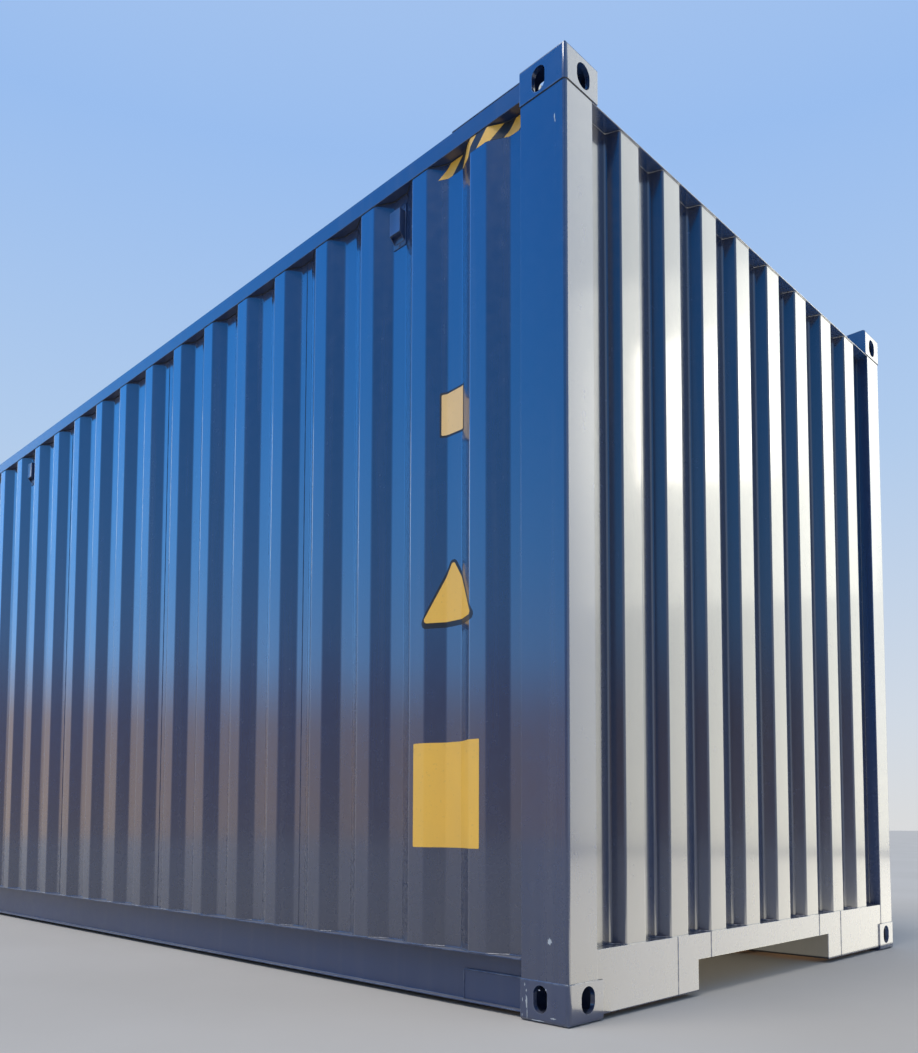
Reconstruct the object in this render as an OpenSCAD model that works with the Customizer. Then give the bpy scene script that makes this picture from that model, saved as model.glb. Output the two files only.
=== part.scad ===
// Forty-foot high-cube shipping container, blind front end towards +X, doors towards -X.
// Origin: centre of the footprint on the underside of the bottom corner castings. +Z is up.
// Right means -Y and left means +Y, as seen from the doors looking forward.

/* [Overall size] */
// Outside length over the corner castings
length = 12192; // [9000:1:13700]
// Outside width over the corner castings
width = 2438; // [2350:1:2600]
// Outside height over the corner castings
height = 2896; // [2591:1:3000]

/* [Corner castings] */
// Casting size along the container
casting_l = 178; // [170:1:190]
// Casting size across the container
casting_w = 162; // [155:1:175]
// Casting height
casting_h = 118; // [115:1:130]
// Thickness of the top or bottom wall that holds the twistlock slot
slot_wall = 28.5; // [20:0.5:30]
// Thickness of the outer end and side walls
face_wall = 16; // [10:0.5:20]
// Thickness of the walls that face the frame
back_wall = 9; // [6:0.5:10]
// Rounding of the outer edges
casting_round = 14; // [4:1:15]
// End-to-end length of the twistlock slot
slot_l = 124; // [110:0.5:126]
// Width of the twistlock slot
slot_w = 63.5; // [50:0.5:66]
// Height of the lashing holes in the end and side faces
hole_h = 79; // [66:0.5:80]
// Width of the lashing hole in the end face
end_hole_w = 63.5; // [45:0.5:64]
// Width of the lashing hole in the side face
side_hole_w = 51; // [40:0.5:58]
// Distance from the container's end to the centre of the slot
slot_from_end = 103.5; // [103:0.5:108]
// Distance from the container's side to the centre of the slot
slot_from_side = 89.5; // [86:0.5:95]

/* [Corner posts] */
// Sheet thickness of the folded posts
post_t = 6; // [4:0.5:10]
// Distance of the post faces behind the casting faces
post_inset = 3; // [1:0.5:8]
// Outside radius of the folded corner
post_bend_r = 11; // [10.5:0.5:15]
// Width of the front post on the blind end
front_post_w = 136; // [110:1:150]
// Depth of the lip that carries the front wall
front_post_lip = 53; // [53:1:75]
// Depth of the lip that carries the side wall
side_post_lip = 42; // [42:1:46]
// Distance from the container's end to the rear face of the rear post
rear_post_setback = 46; // [45:1:60]
// Width of the rear post beside the door opening
rear_post_w = 46; // [46:1:60]
// Length of the rolled channel inside the rear post
post_channel_l = 113; // [60:1:115]
// Wall of that channel
post_channel_t = 12; // [6:0.5:14]

/* [Side rails] */
// Height of the bottom side rail
bottom_rail_h = 158; // [130:1:180]
// Height of the rail's underside above the ground
bottom_rail_z = 16; // [10:1:17]
// Width of the rail's top flange
rail_top_flange = 48; // [46:1:60]
// Width of the rail's bottom flange
rail_bottom_flange = 30; // [20:1:45]
// Wall of the bottom side rail
bottom_rail_t = 4.5; // [3:0.5:8]
// Distance of the rail flange behind the casting face
bottom_rail_inset = 4; // [1:0.5:5]
// Length of the stiffening plate at each end of the rail
end_plate_l = 268; // [100:1:500]
// Height of the stiffening plate
end_plate_h = 92; // [40:1:97]
// Thickness of the stiffening plate
end_plate_t = 6; // [3:0.5:12]
// Outside size of the square top rail tube
top_rail_size = 60; // [50:1:80]
// Wall of the top rail tube
top_rail_t = 3; // [2:0.5:6]
// Distance of the top rail below the casting tops
top_rail_drop = 37; // [36:1:50]
// Distance of the top rail behind the casting face
top_rail_inset = 4; // [1:0.5:5]

/* [Side walls] */
// Sheet thickness of the side walls
side_sheet_t = 1.6; // [1.2:0.1:3]
// Distance of the outer faces behind the casting face
side_wall_inset = 5; // [5:0.5:8]
// Depth of the side corrugation
side_depth = 36; // [20:1:36]
// Width of each outer face
side_outer = 72; // [50:1:100]
// Width of each recessed face
side_inner = 70; // [70:1:100]
// Width of each slope
side_slope = 68; // [30:1:90]
// Width of the first recessed face beside the front post
side_first_flat = 75; // [40:1:120]
// Least width of the last recessed face beside the rear post
side_last_flat = 60; // [40:1:100]

/* [Blind end] */
// Sheet thickness of the front wall
front_sheet_t = 2; // [1.2:0.1:4]
// Distance of the outer faces behind the casting face
front_wall_inset = 7; // [7:0.5:12]
// Depth of the front corrugation
front_depth = 45.6; // [30:0.2:46]
// Width of each outer face
front_outer = 110; // [80:1:125]
// Pitch of the front corrugation
front_pitch = 250; // [220:1:256]
// Width of each slope
front_slope = 18; // [10:1:45]
// Number of outer faces
front_ribs = 8; // [6:1:8]
// Height of the front sill's top ledge above the ground
front_sill_top = 205; // [190:1:240]
// Depth of the sill's top ledge
front_sill_ledge = 60; // [58:1:80]
// Wall of the front sill
front_sill_t = 4; // [3:0.5:8]
// Distance of the sill face behind the casting face
front_sill_inset = 5; // [3:0.5:6.5]
// Thickness of the ledge plate over the corrugation
header_ledge_t = 4; // [3:0.5:8]
// Outside size of the header tube
header_tube = 60; // [40:1:60]
// Wall of the header tube
header_tube_t = 3; // [2:0.5:6]
// Distance of the header tube behind the casting face
header_tube_setback = 62; // [60:1:75]

/* [Roof] */
// Sheet thickness of the roof
roof_t = 2; // [1.5:0.1:4]
// Height of the stamped ribs
roof_rib_h = 20; // [10:1:24]
// Width of each rib on top
roof_crest = 91; // [60:1:120]
// Width of each rib slope
roof_slope = 13.5; // [8:0.5:30]
// Pitch of the ribs
roof_pitch = 209; // [190:1:260]
// Flat margin between a rib's end and the container's side
roof_margin = 99; // [96:1:150]
// Distance of the roof edge behind the casting face
roof_edge_inset = 24; // [15:1:40]
// Gap between the roof sheet and the castings
roof_end_gap = 13; // [5:1:20]
// Overlap of the header plates on the roof
header_lap = 35; // [20:1:60]
// Thickness of the header plates
header_plate_t = 3; // [2:0.5:5]
// Length of the corner protection plates
corner_plate_l = 300; // [150:1:500]
// Width of the corner protection plates
corner_plate_w = 80; // [50:1:85]

/* [Base] */
// Thickness of the plywood floor
floor_t = 28; // [20:1:30]
// Height of the cross members
cross_h = 122; // [122:1:140]
// Height of the cross members' underside above the ground
cross_z = 17; // [12:1:25]
// Flange width of the cross members
cross_flange = 45; // [35:1:70]
// Wall of the cross members
cross_t = 4; // [3:0.5:8]
// Pitch of the cross members
cross_pitch = 305; // [250:1:450]
// Distance from the container's rear to the first cross member
cross_first = 235; // [200:1:260]
// Length of the gooseneck tunnel from the front
tunnel_l = 3315; // [2500:1:3500]
// Clear width of the gooseneck tunnel
tunnel_w = 1029; // [900:1:1100]
// Clear height of the gooseneck tunnel above the ground
tunnel_h = 120; // [105:1:122]
// Plate thickness of the tunnel
tunnel_t = 4; // [3:0.5:6]
// Width of the bows over the tunnel plate
bow_w = 60; // [40:1:150]
// Width of the bolster behind the tunnel
bolster_w = 150; // [100:1:200]

/* [Door frame] */
// Depth of the door sill
sill_depth = 60; // [55:1:90]
// Wall of the door sill
sill_t = 4.5; // [3:0.5:8]
// Height of the door header box
door_header_h = 109; // [100:1:160]
// Depth of the door header box
door_header_depth = 70; // [55:1:90]
// Wall of the door header box
door_header_t = 4; // [3:0.5:8]

/* [Doors] */
// Thickness of a door leaf
leaf_t = 50; // [45:1:60]
// Thickness of the rubber seal round a leaf
seal_t = 8; // [4:0.5:12]
// Depth of the rubber seal
seal_depth = 40; // [20:1:45]
// Half the gap between the two seals
seal_gap = 0.5; // [0.2:0.1:2]
// Width of the upright leaf tubes
stile_w = 100; // [80:1:120]
// Wall of the upright leaf tubes
stile_t = 3.2; // [2:0.1:6]
// Height of the level leaf channels
rail_h = 150; // [100:1:160]
// Wall of the level leaf channels
rail_t = 3; // [2:0.5:6]
// Sheet thickness of the door panels
door_sheet_t = 2; // [1.5:0.1:4]
// Number of pressed troughs in each panel
trough_count = 5; // [4:1:5]
// Depth of the troughs
trough_depth = 36; // [20:1:40]
// Width of a trough's floor
trough_floor = 72; // [50:1:100]
// Width of a trough's slope
trough_slope = 68; // [30:1:70]

/* [Door gear] */
// Diameter of the locking bars
bar_d = 34; // [26:1:36]
// Distance from the container's end to the bar axis
bar_setback = 24; // [22:1:25]
// Distance of the inner bars from the centre line
inner_bar_y = 230; // [180:1:300]
// Distance of the outer bars from the leaf's outer edge
outer_bar_inset = 362; // [300:1:400]
// Running clearance round the bars
bar_clearance = 0.3; // [0.2:0.1:1]
// Half width of the locking cams
cam_half_w = 37; // [30:1:38]
// Height of the locking cams
cam_h = 40; // [30:1:50]
// Height of the keepers
keeper_h = 70; // [60:1:90]
// Gap between a keeper and a cam
keeper_gap = 3; // [1:0.5:8]
// Thickness of a keeper's side lugs
keeper_lug = 14; // [8:1:20]
// Thickness of a keeper's back
keeper_back = 5; // [3:0.5:6]
// Length of the door handles
handle_l = 420; // [300:1:430]
// Height of a handle bar
handle_h = 34; // [24:1:40]
// Thickness of a handle bar
handle_t = 10; // [6:1:14]
// Height of the lower handles above the trough beneath them
handle_rise = 40; // [25:1:60]
// Difference in height between the two handles of a leaf
handle_step = 95; // [90:1:110]
// Width of the bar brackets
bracket_w = 92; // [70:1:110]
// Height of the bar brackets
bracket_h = 44; // [30:1:60]
// Plate thickness of the bar brackets
bracket_t = 4; // [3:0.5:5]
// Number of hinges on each leaf
hinge_count = 4; // [3:1:5]
// Distance of the end hinges from the leaf's ends
hinge_from_end = 260; // [200:1:400]
// Diameter of the hinge pins
hinge_pin_d = 20; // [14:1:24]
// Outside diameter of the hinge knuckles
knuckle_d = 36; // [32:1:40]
// Height of the hinge knuckles
knuckle_h = 60; // [40:1:90]
// Thickness of the hinge lugs
hinge_lug_t = 14; // [8:1:20]
// Length of the hinge straps on the leaf
strap_l = 150; // [80:1:200]
// Thickness of the hinge straps
strap_t = 8; // [6:0.5:9]

/* [Vents] */
// Width of a vent's housing
vent_w = 54; // [40:1:60]
// Height of a vent's housing
vent_h = 110; // [80:1:140]
// Depth of a vent's housing
vent_depth = 27; // [15:1:28]
// Width of a vent's flange
vent_flange_w = 64; // [61:1:68]
// Height of the flange above the housing
vent_flange_up = 26; // [15:1:35]
// Height of the flange below the housing
vent_flange_down = 16; // [10:1:30]
// Thickness of the flange
vent_flange_t = 3; // [2:0.5:4]
// Distance of the flange below the top rail
vent_drop = 35; // [20:1:80]
// Number of corrugations from the post to the first vent
vent_first = 2; // [1:1:4]
// Number of corrugations from the post to the second vent
vent_second = 14; // [8:1:14]

/* [Hidden] */
$fn = 48;

// A cut reaches this far past the face that it opens
over = 1;

half_l = length / 2;
half_w = width / 2;

// Castings
frame_end_x = half_l - casting_l;
casting_in_y = half_w - casting_w;
post_top = height - casting_h;
slot_u = casting_l - slot_from_end;
slot_v = casting_w - slot_from_side;
hole_w = casting_h - slot_wall - hole_h / 2;

// Posts and rails
post_y = half_w - post_inset;
front_wall_half = post_y - front_post_w;
rear_face_x = -half_l + rear_post_setback;
opening_half = post_y - rear_post_w;
rail_out_y = half_w - bottom_rail_inset;
rail_web_y = rail_out_y - rail_top_flange;
bottom_rail_top = bottom_rail_z + bottom_rail_h;
top_rail_out_y = half_w - top_rail_inset;
top_rail_top = height - top_rail_drop;
top_rail_z = top_rail_top - top_rail_size;

// Side walls
side_out_y = half_w - side_wall_inset;
side_recess_y = side_out_y - side_depth;
side_pitch = side_outer + side_inner + 2 * side_slope;
side_span = 2 * frame_end_x;
side_ribs = floor((side_span - side_first_flat - side_last_flat + side_inner) / side_pitch);

// Blind end
front_out_x = half_l - front_wall_inset;
front_in_x = front_out_x - front_depth - front_sheet_t;
front_sill_x = half_l - front_sill_inset;
ledge_z = post_top - header_ledge_t;
ledge_front_x = half_l - post_inset;
tube_front_x = half_l - header_tube_setback;
tube_back_x = tube_front_x - header_tube;
tube_top = post_top + header_tube;

// Roof
roof_top = top_rail_top + roof_t;
roof_half_l = frame_end_x - roof_end_gap;
roof_half_w = half_w - roof_edge_inset;
rib_foot = roof_crest + 2 * roof_slope;
roof_ribs = floor((2 * (roof_half_l - header_lap) - rib_foot) / roof_pitch) + 1;
rib_half_w = half_w - roof_margin;

// Base
cross_top = cross_z + cross_h;
floor_top = cross_top + floor_t;
tunnel_half = tunnel_w / 2;
tunnel_back_x = half_l - tunnel_l;
tunnel_front_x = front_sill_x - front_sill_t;
bolster_x = tunnel_back_x - bolster_w;
cross_start = -half_l + cross_first;
cross_count = floor((bolster_x - cross_start - cross_flange) / cross_pitch) + 1;
rigger_start = tunnel_back_x + cross_pitch - bolster_w;
rigger_count = floor((frame_end_x - rigger_start - cross_flange) / cross_pitch) + 1;
floor_side_gap = 2;
floor_front_gap = 2;

// Door frame and leaves
sill_in_x = rear_face_x + sill_depth;
door_header_z = roof_top - door_header_h;
door_opening_h = door_header_z - floor_top;
leaf_in_x = rear_face_x + leaf_t;
leaf_bottom = floor_top + seal_t;
leaf_top = door_header_z - seal_t;
leaf_inner_y = seal_gap + seal_t;
leaf_outer_y = opening_half - seal_t;
panel_y0 = leaf_inner_y + stile_w;
panel_y1 = leaf_outer_y - stile_w;
panel_z0 = leaf_bottom + rail_h;
panel_z1 = leaf_top - rail_h;
trough_w = trough_floor + 2 * trough_slope;
trough_flat = (panel_z1 - panel_z0 - trough_count * trough_w) / (trough_count + 1);
trough_step = trough_w + trough_flat;

// Door gear
bar_x = -half_l + bar_setback;
bar_r = bar_d / 2;
outer_bar_y = leaf_outer_y - outer_bar_inset;
bar_overrun = 22;
bar_bottom = floor_top - keeper_h - bar_overrun;
bar_top = door_header_z + keeper_h + bar_overrun / 2;
keeper_half_w = cam_half_w + keeper_gap + keeper_lug;
cam_cover = 2;
gear_out_x = bar_x - bar_r - cam_cover;
low_handle_z = panel_z0 + 2 * trough_step + handle_rise;
hub_reach = 44;
hub_h = 24;
strap_shoulder = 4;
strap_h = knuckle_h - 2 * strap_shoulder;
hinge_y = post_y - knuckle_d / 2;
hinge_x = bar_x;
hinge_play = 0.3;

// Vents
vent_top = top_rail_z - vent_drop;
vent_last = side_ribs - vent_first;
vent_third = side_ribs - vent_second;

paint = [0.13, 0.19, 0.3];
seal_black = [0.05, 0.05, 0.05];
plywood = [0.55, 0.38, 0.22];

// Copies what is drawn for the left side to the right side
module right_side() {
    mirror([0, 1, 0]) children();
}

// A hole with round ends along local X, standing on Z
module round_slot(long, wide, deep) {
    straight = long - wide;
    for (end = [-1, 1])
        translate([end * straight / 2, 0, 0]) cylinder(d = wide, h = deep);
    translate([-straight / 2, -wide / 2, 0]) cube([straight, wide, deep]);
}

// A rectangle from the origin whose far corner is rounded
module rounded_far_corner(a, b, r) {
    square([a - r, b]);
    square([a, b - r]);
    translate([a - r, b - r]) circle(r);
}

// A channel section: web along +Y at x = 0, flanges towards +X
module channel_section(h, top_flange, bottom_flange, t) {
    square([t, h]);
    square([bottom_flange, t]);
    translate([0, h - t]) square([top_flange, t]);
}

// A square tube section from the origin
module tube_section(a, b, t) {
    difference() {
        square([a, b]);
        translate([t, t]) square([a - 2 * t, b - 2 * t]);
    }
}

// Draws an X-Z section and runs it along Y from y0 to y1
module along_y(y0, y1) {
    translate([0, y1, 0]) rotate([90, 0, 0]) linear_extrude(y1 - y0) children();
}

// Draws a Y-Z section and runs it along X from x0 to x1
module along_x(x0, x1) {
    translate([x0, 0, 0]) rotate([90, 0, 90]) linear_extrude(x1 - x0) children();
}

// Points of one face of a corrugated sheet that starts and ends in a recess
function corrugation(run, first, count, pitch, flat, slope, depth, level, inset) = concat(
    [[0, depth + level]],
    [for (i = [0 : count - 1], p = [
        [inset, depth], [slope + inset, 0],
        [slope + flat - inset, 0], [2 * slope + flat - inset, depth]
    ]) [first + i * pitch + p[0], p[1] + level]],
    [[run, depth + level]]
);

// Section of a corrugated sheet of even thickness: runs along +X, outer faces at y = 0
module corrugated_section(run, first, count, pitch, flat, slope, depth, t) {
    mitre = t * tan(atan2(depth, slope) / 2);
    outer = corrugation(run, first, count, pitch, flat, slope, depth, 0, 0);
    inner = corrugation(run, first, count, pitch, flat, slope, depth, t, mitre);
    polygon(concat(outer, [for (i = [len(inner) - 1 : -1 : 0]) inner[i]]));
}

// A casting as it stands at the top, front and left corner
module top_front_left_casting() {
    color(paint)
    translate([frame_end_x, casting_in_y, post_top])
    difference() {
        intersection() {
            linear_extrude(casting_h)
                rounded_far_corner(casting_l, casting_w, casting_round);
            translate([0, casting_w, 0]) rotate([90, 0, 0])
                linear_extrude(casting_w)
                    rounded_far_corner(casting_l, casting_h, casting_round);
            rotate([90, 0, 90]) linear_extrude(casting_l)
                rounded_far_corner(casting_w, casting_h, casting_round);
        }
        translate([back_wall, back_wall, back_wall])
            cube([
                casting_l - back_wall - face_wall,
                casting_w - back_wall - face_wall,
                casting_h - back_wall - slot_wall
            ]);
        translate([slot_u, slot_v, casting_h - slot_wall - over])
            round_slot(slot_l, slot_w, slot_wall + 2 * over);
        translate([casting_l - face_wall - over, slot_v, hole_w]) rotate([0, 90, 0])
            round_slot(hole_h, end_hole_w, face_wall + 2 * over);
        translate([slot_u, casting_w + over, hole_w]) rotate([90, 0, 0]) rotate([0, 0, 90])
            round_slot(hole_h, side_hole_w, face_wall + 2 * over);
    }
}

// Turns the top casting into the bottom one
module to_bottom() {
    translate([0, 0, height]) mirror([0, 0, 1]) children();
}

// Turns a front piece into the rear one
module to_rear() {
    mirror([1, 0, 0]) children();
}

// Front post: folded sheet with a lip for the side wall and one for the front wall
module front_post_left() {
    color(paint)
    translate([half_l - post_inset, post_y, casting_h]) rotate([0, 0, 180])
    linear_extrude(post_top - casting_h) {
        side_l = casting_l - post_inset;
        bend = post_bend_r;
        translate([bend, 0]) square([side_l - bend, post_t]);
        translate([0, bend]) square([post_t, front_post_w - bend]);
        intersection() {
            translate([bend, bend]) difference() {
                circle(bend);
                circle(bend - post_t);
            }
            square(bend);
        }
        translate([side_l - post_t, 0]) square([post_t, side_post_lip]);
        translate([0, front_post_w - post_t]) square([front_post_lip, post_t]);
    }
}

// Rear post: folded outer sheet and a rolled channel beside the door opening
module rear_post_left() {
    color(paint)
    translate([0, 0, casting_h]) linear_extrude(post_top - casting_h) {
        side_l = -frame_end_x - rear_face_x;
        translate([rear_face_x, post_y - post_t]) square([side_l, post_t]);
        translate([rear_face_x, opening_half]) square([post_t, rear_post_w]);
        translate([-frame_end_x - post_t, post_y - side_post_lip])
            square([post_t, side_post_lip]);
        translate([rear_face_x + post_t, opening_half]) {
            square([post_channel_l, post_channel_t]);
            for (x = [0, post_channel_l - post_channel_t])
                translate([x, 0]) square([post_channel_t, rear_post_w - post_t]);
        }
    }
}

// Bottom side rail: channel that opens outwards, with the wall on its top flange
module bottom_rail_left() {
    color(paint)
    along_x(-frame_end_x, frame_end_x)
        translate([rail_web_y, bottom_rail_z])
            channel_section(bottom_rail_h, rail_top_flange, rail_bottom_flange, bottom_rail_t);
}

// Stiffening plates on the rail webs beside the four bottom castings
module rail_end_plates() {
    color(paint)
    for (side = [0, 1], end = [0, 1])
        mirror([0, side, 0]) mirror([end, 0, 0])
            translate([
                frame_end_x - end_plate_l,
                rail_web_y + bottom_rail_t,
                bottom_rail_z + bottom_rail_t
            ])
                cube([end_plate_l, end_plate_t, end_plate_h]);
}

// Top side rail: square tube between the castings
module top_rail_left() {
    color(paint)
    along_x(-frame_end_x, frame_end_x)
        translate([top_rail_out_y - top_rail_size, top_rail_z])
            tube_section(top_rail_size, top_rail_size, top_rail_t);
}

// Side wall: pressed sheet between the rails, its ridges run upright
module side_wall_left() {
    color(paint)
    translate([frame_end_x, side_out_y, bottom_rail_top]) rotate([0, 0, 180])
        linear_extrude(top_rail_z - bottom_rail_top)
            corrugated_section(
                side_span, side_first_flat, side_ribs, side_pitch,
                side_outer, side_slope, side_depth, side_sheet_t
            );
}

// Front wall: deeper pressed sheet between the front posts
module front_wall() {
    run = 2 * front_wall_half;
    ribs_w = (front_ribs - 1) * front_pitch + front_outer + 2 * front_slope;
    color(paint)
    translate([front_out_x, -front_wall_half, front_sill_top]) rotate([0, 0, 90])
        linear_extrude(ledge_z - front_sill_top)
            corrugated_section(
                run, (run - ribs_w) / 2, front_ribs, front_pitch,
                front_outer, front_slope, front_depth, front_sheet_t
            );
}

// Front sill: open section with a ledge on top, cut out over the gooseneck tunnel
module front_sill() {
    sill_h = front_sill_top - cross_z;
    color(paint)
    difference() {
        along_y(-front_wall_half, front_wall_half)
            translate([front_sill_x, cross_z]) mirror([1, 0])
                channel_section(sill_h, front_sill_ledge, front_sill_ledge, front_sill_t);
        for (side = [0, 1])
            mirror([0, side, 0])
                translate([frame_end_x, casting_in_y, 0])
                    cube([casting_l, casting_w, casting_h]);
        translate([frame_end_x, -tunnel_half, 0]) cube([casting_l, tunnel_w, tunnel_h]);
        translate([frame_end_x, -tunnel_half - tunnel_t, 0])
            cube([
                tunnel_front_x - frame_end_x,
                tunnel_w + 2 * tunnel_t,
                tunnel_h + tunnel_t
            ]);
    }
}

// Front header: ledge plate on the corrugation and a square tube set back on it
module front_header() {
    color(paint) {
        translate([tube_back_x, -front_wall_half, ledge_z])
            cube([ledge_front_x - tube_back_x, 2 * front_wall_half, header_ledge_t]);
        along_y(-casting_in_y, casting_in_y)
            translate([tube_back_x, post_top])
                tube_section(header_tube, header_tube, header_tube_t);
    }
}

// Header plates: folded sheets that lap the roof at both ends
module header_plates() {
    lap_x = roof_half_l - header_lap;
    rise = roof_top - tube_top;
    flat_x = tube_front_x - header_tube / 2;
    knee_x = flat_x - rise;
    mitre = header_plate_t * tan(22.5);
    color(paint) {
        along_y(-casting_in_y, casting_in_y)
            polygon([
                [tube_front_x, tube_top], [flat_x, tube_top],
                [knee_x, roof_top], [lap_x, roof_top],
                [lap_x, roof_top + header_plate_t], [knee_x + mitre, roof_top + header_plate_t],
                [flat_x + mitre, tube_top + header_plate_t],
                [tube_front_x, tube_top + header_plate_t]
            ]);
        translate([rear_face_x, -casting_in_y, roof_top])
            cube([-lap_x - rear_face_x, 2 * casting_in_y, header_plate_t]);
    }
}

// Solid form of all roof ribs, drawn smaller by t for the underside
module roof_ribs_solid(t) {
    first = -((roof_ribs - 1) * roof_pitch + rib_foot) / 2;
    mitre = t * tan(atan2(roof_rib_h, roof_slope) / 2);
    foot_z = top_rail_top - t;
    crest_z = roof_top + roof_rib_h - t;
    drop = (foot_z - roof_top) * roof_slope / roof_rib_h;
    intersection() {
        along_y(-half_w, half_w)
            for (i = [0 : roof_ribs - 1])
                translate([first + i * roof_pitch, 0])
                    polygon([
                        [mitre + drop, foot_z],
                        [roof_slope + mitre, crest_z],
                        [roof_slope + roof_crest - mitre, crest_z],
                        [rib_foot - mitre - drop, foot_z]
                    ]);
        along_x(-half_l, half_l)
            polygon([
                [-rib_half_w + mitre + drop, foot_z],
                [-rib_half_w + roof_slope + mitre, crest_z],
                [rib_half_w - roof_slope - mitre, crest_z],
                [rib_half_w - mitre - drop, foot_z]
            ]);
    }
}

// Roof: flat sheet with stamped ribs across it
module roof() {
    color(paint)
    difference() {
        union() {
            translate([-roof_half_l, -roof_half_w, top_rail_top])
                cube([2 * roof_half_l, 2 * roof_half_w, roof_t]);
            intersection() {
                roof_ribs_solid(0);
                translate([-half_l, -half_w, top_rail_top]) cube([length, width, height]);
            }
        }
        roof_ribs_solid(roof_t);
    }
}

// Protection plates on the roof beside the top castings
module roof_corner_plates() {
    color(paint)
    for (side = [0, 1], end = [0, 1])
        mirror([0, side, 0]) mirror([end, 0, 0])
            translate([
                frame_end_x - corner_plate_l,
                top_rail_out_y - corner_plate_w,
                roof_top
            ])
                cube([corner_plate_l, corner_plate_w, header_plate_t]);
}

// Floor: plywood on the cross members
module floor() {
    side_y = rail_web_y - floor_side_gap;
    front_x = front_in_x - floor_front_gap;
    color(plywood)
    translate([sill_in_x, -side_y, cross_top])
        cube([front_x - sill_in_x, 2 * side_y, floor_t]);
}

// One cross member section from the origin, flanges forward
module cross_section_shape() {
    channel_section(cross_h, cross_flange, cross_flange, cross_t);
}

// Cross members: channels between the two bottom rails
module cross_members() {
    color(paint)
    for (i = [0 : cross_count - 1])
        along_y(-rail_web_y, rail_web_y)
            translate([cross_start + i * cross_pitch, cross_z]) cross_section_shape();
}

// Tunnel plate: folded top and sides, with the bows that carry the floor
module tunnel_plate() {
    bow_z = tunnel_h + tunnel_t;
    side_h = bow_z - cross_z;
    color(paint) {
        along_x(tunnel_back_x, tunnel_front_x) {
            translate([-tunnel_half - tunnel_t, tunnel_h])
                square([tunnel_w + 2 * tunnel_t, tunnel_t]);
            for (y = [-tunnel_half - tunnel_t, tunnel_half])
                translate([y, cross_z]) square([tunnel_t, side_h]);
        }
        for (i = [0 : rigger_count - 1])
            translate([rigger_start + i * cross_pitch, -tunnel_half - tunnel_t, bow_z])
                cube([bow_w, tunnel_w + 2 * tunnel_t, cross_top - bow_z]);
    }
}

// Tunnel bolster: box beam across the rear of the tunnel
module tunnel_bolster() {
    color(paint)
    along_y(-rail_web_y, rail_web_y)
        translate([bolster_x, cross_z]) tube_section(bolster_w, cross_h, cross_t);
}

// Outriggers: short channels between the tunnel and the left bottom rail
module tunnel_outriggers_left() {
    color(paint)
    for (i = [0 : rigger_count - 1])
        along_y(tunnel_half + tunnel_t, rail_web_y)
            translate([rigger_start + i * cross_pitch, cross_z]) cross_section_shape();
}

// Door sill: open section under the doors, between the rear posts
module door_sill() {
    color(paint)
    difference() {
        along_y(-opening_half, opening_half)
            translate([rear_face_x, cross_z])
                channel_section(floor_top - cross_z, sill_depth, sill_depth, sill_t);
        for (side = [0, 1])
            mirror([0, side, 0])
                translate([-half_l, casting_in_y, 0])
                    cube([casting_l, casting_w, casting_h]);
    }
}

// Door header: box beam over the doors
module door_header() {
    color(paint)
    difference() {
        along_y(-opening_half, opening_half)
            translate([rear_face_x, door_header_z])
                tube_section(door_header_depth, door_header_h, door_header_t);
        for (side = [0, 1])
            mirror([0, side, 0])
                translate([-half_l, casting_in_y, post_top])
                    cube([casting_l, casting_w, casting_h]);
    }
}

// Frame of the left door leaf: upright tubes and level channels
module door_frame_left() {
    color(paint) {
        for (y = [leaf_inner_y, panel_y1])
            translate([rear_face_x, y, leaf_bottom])
                linear_extrude(leaf_top - leaf_bottom) tube_section(leaf_t, stile_w, stile_t);
        for (z = [leaf_bottom, panel_z1])
            along_y(panel_y0 - stile_t / 2, panel_y1 + stile_t / 2)
                translate([rear_face_x, z]) channel_section(rail_h, leaf_t, leaf_t, rail_t);
    }
}

// Panels of both leaves: pressed sheet with level troughs
module door_panels() {
    mitre = door_sheet_t * tan(atan2(trough_depth, trough_slope) / 2);
    outer = corrugation(
        panel_z1 - panel_z0, trough_flat, trough_count, trough_step,
        trough_floor, trough_slope, -trough_depth, trough_depth, 0
    );
    inner = corrugation(
        panel_z1 - panel_z0, trough_flat, trough_count, trough_step,
        trough_floor, trough_slope, -trough_depth, trough_depth + door_sheet_t, -mitre
    );
    color(paint)
    for (side = [0, 1])
        mirror([0, side, 0])
            along_y(panel_y0, panel_y1)
                translate([rear_face_x, panel_z0])
                    polygon([
                        for (p = concat(outer, [for (i = [len(inner) - 1 : -1 : 0]) inner[i]]))
                            [p[1], p[0]]
                    ]);
}

// Rubber seals round both leaves
module door_seals() {
    color(seal_black)
    for (side = [0, 1])
        mirror([0, side, 0])
            along_x(rear_face_x + seal_t, rear_face_x + seal_t + seal_depth)
                difference() {
                    translate([seal_gap, floor_top])
                        square([opening_half - seal_gap, door_opening_h]);
                    translate([leaf_inner_y, leaf_bottom])
                        square([leaf_outer_y - leaf_inner_y, leaf_top - leaf_bottom]);
                }
}

// Locking bar with a cam at each end and the hub of its handle
module lock_bar(y, handle_z, handle_side) {
    cam_l = rear_face_x - keeper_back - keeper_gap - gear_out_x;
    color(paint)
    translate([0, y, 0]) {
        translate([bar_x, 0, bar_bottom]) cylinder(d = bar_d, h = bar_top - bar_bottom);
        for (z = [floor_top - keeper_h / 2, door_header_z + keeper_h / 2])
            translate([gear_out_x, -cam_half_w, z - cam_h / 2])
                cube([cam_l, 2 * cam_half_w, cam_h]);
        translate([bar_x - bar_r, handle_side > 0 ? 0 : -hub_reach, handle_z - hub_h / 2])
            cube([bar_r + handle_t / 2, hub_reach, hub_h]);
    }
}

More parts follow.
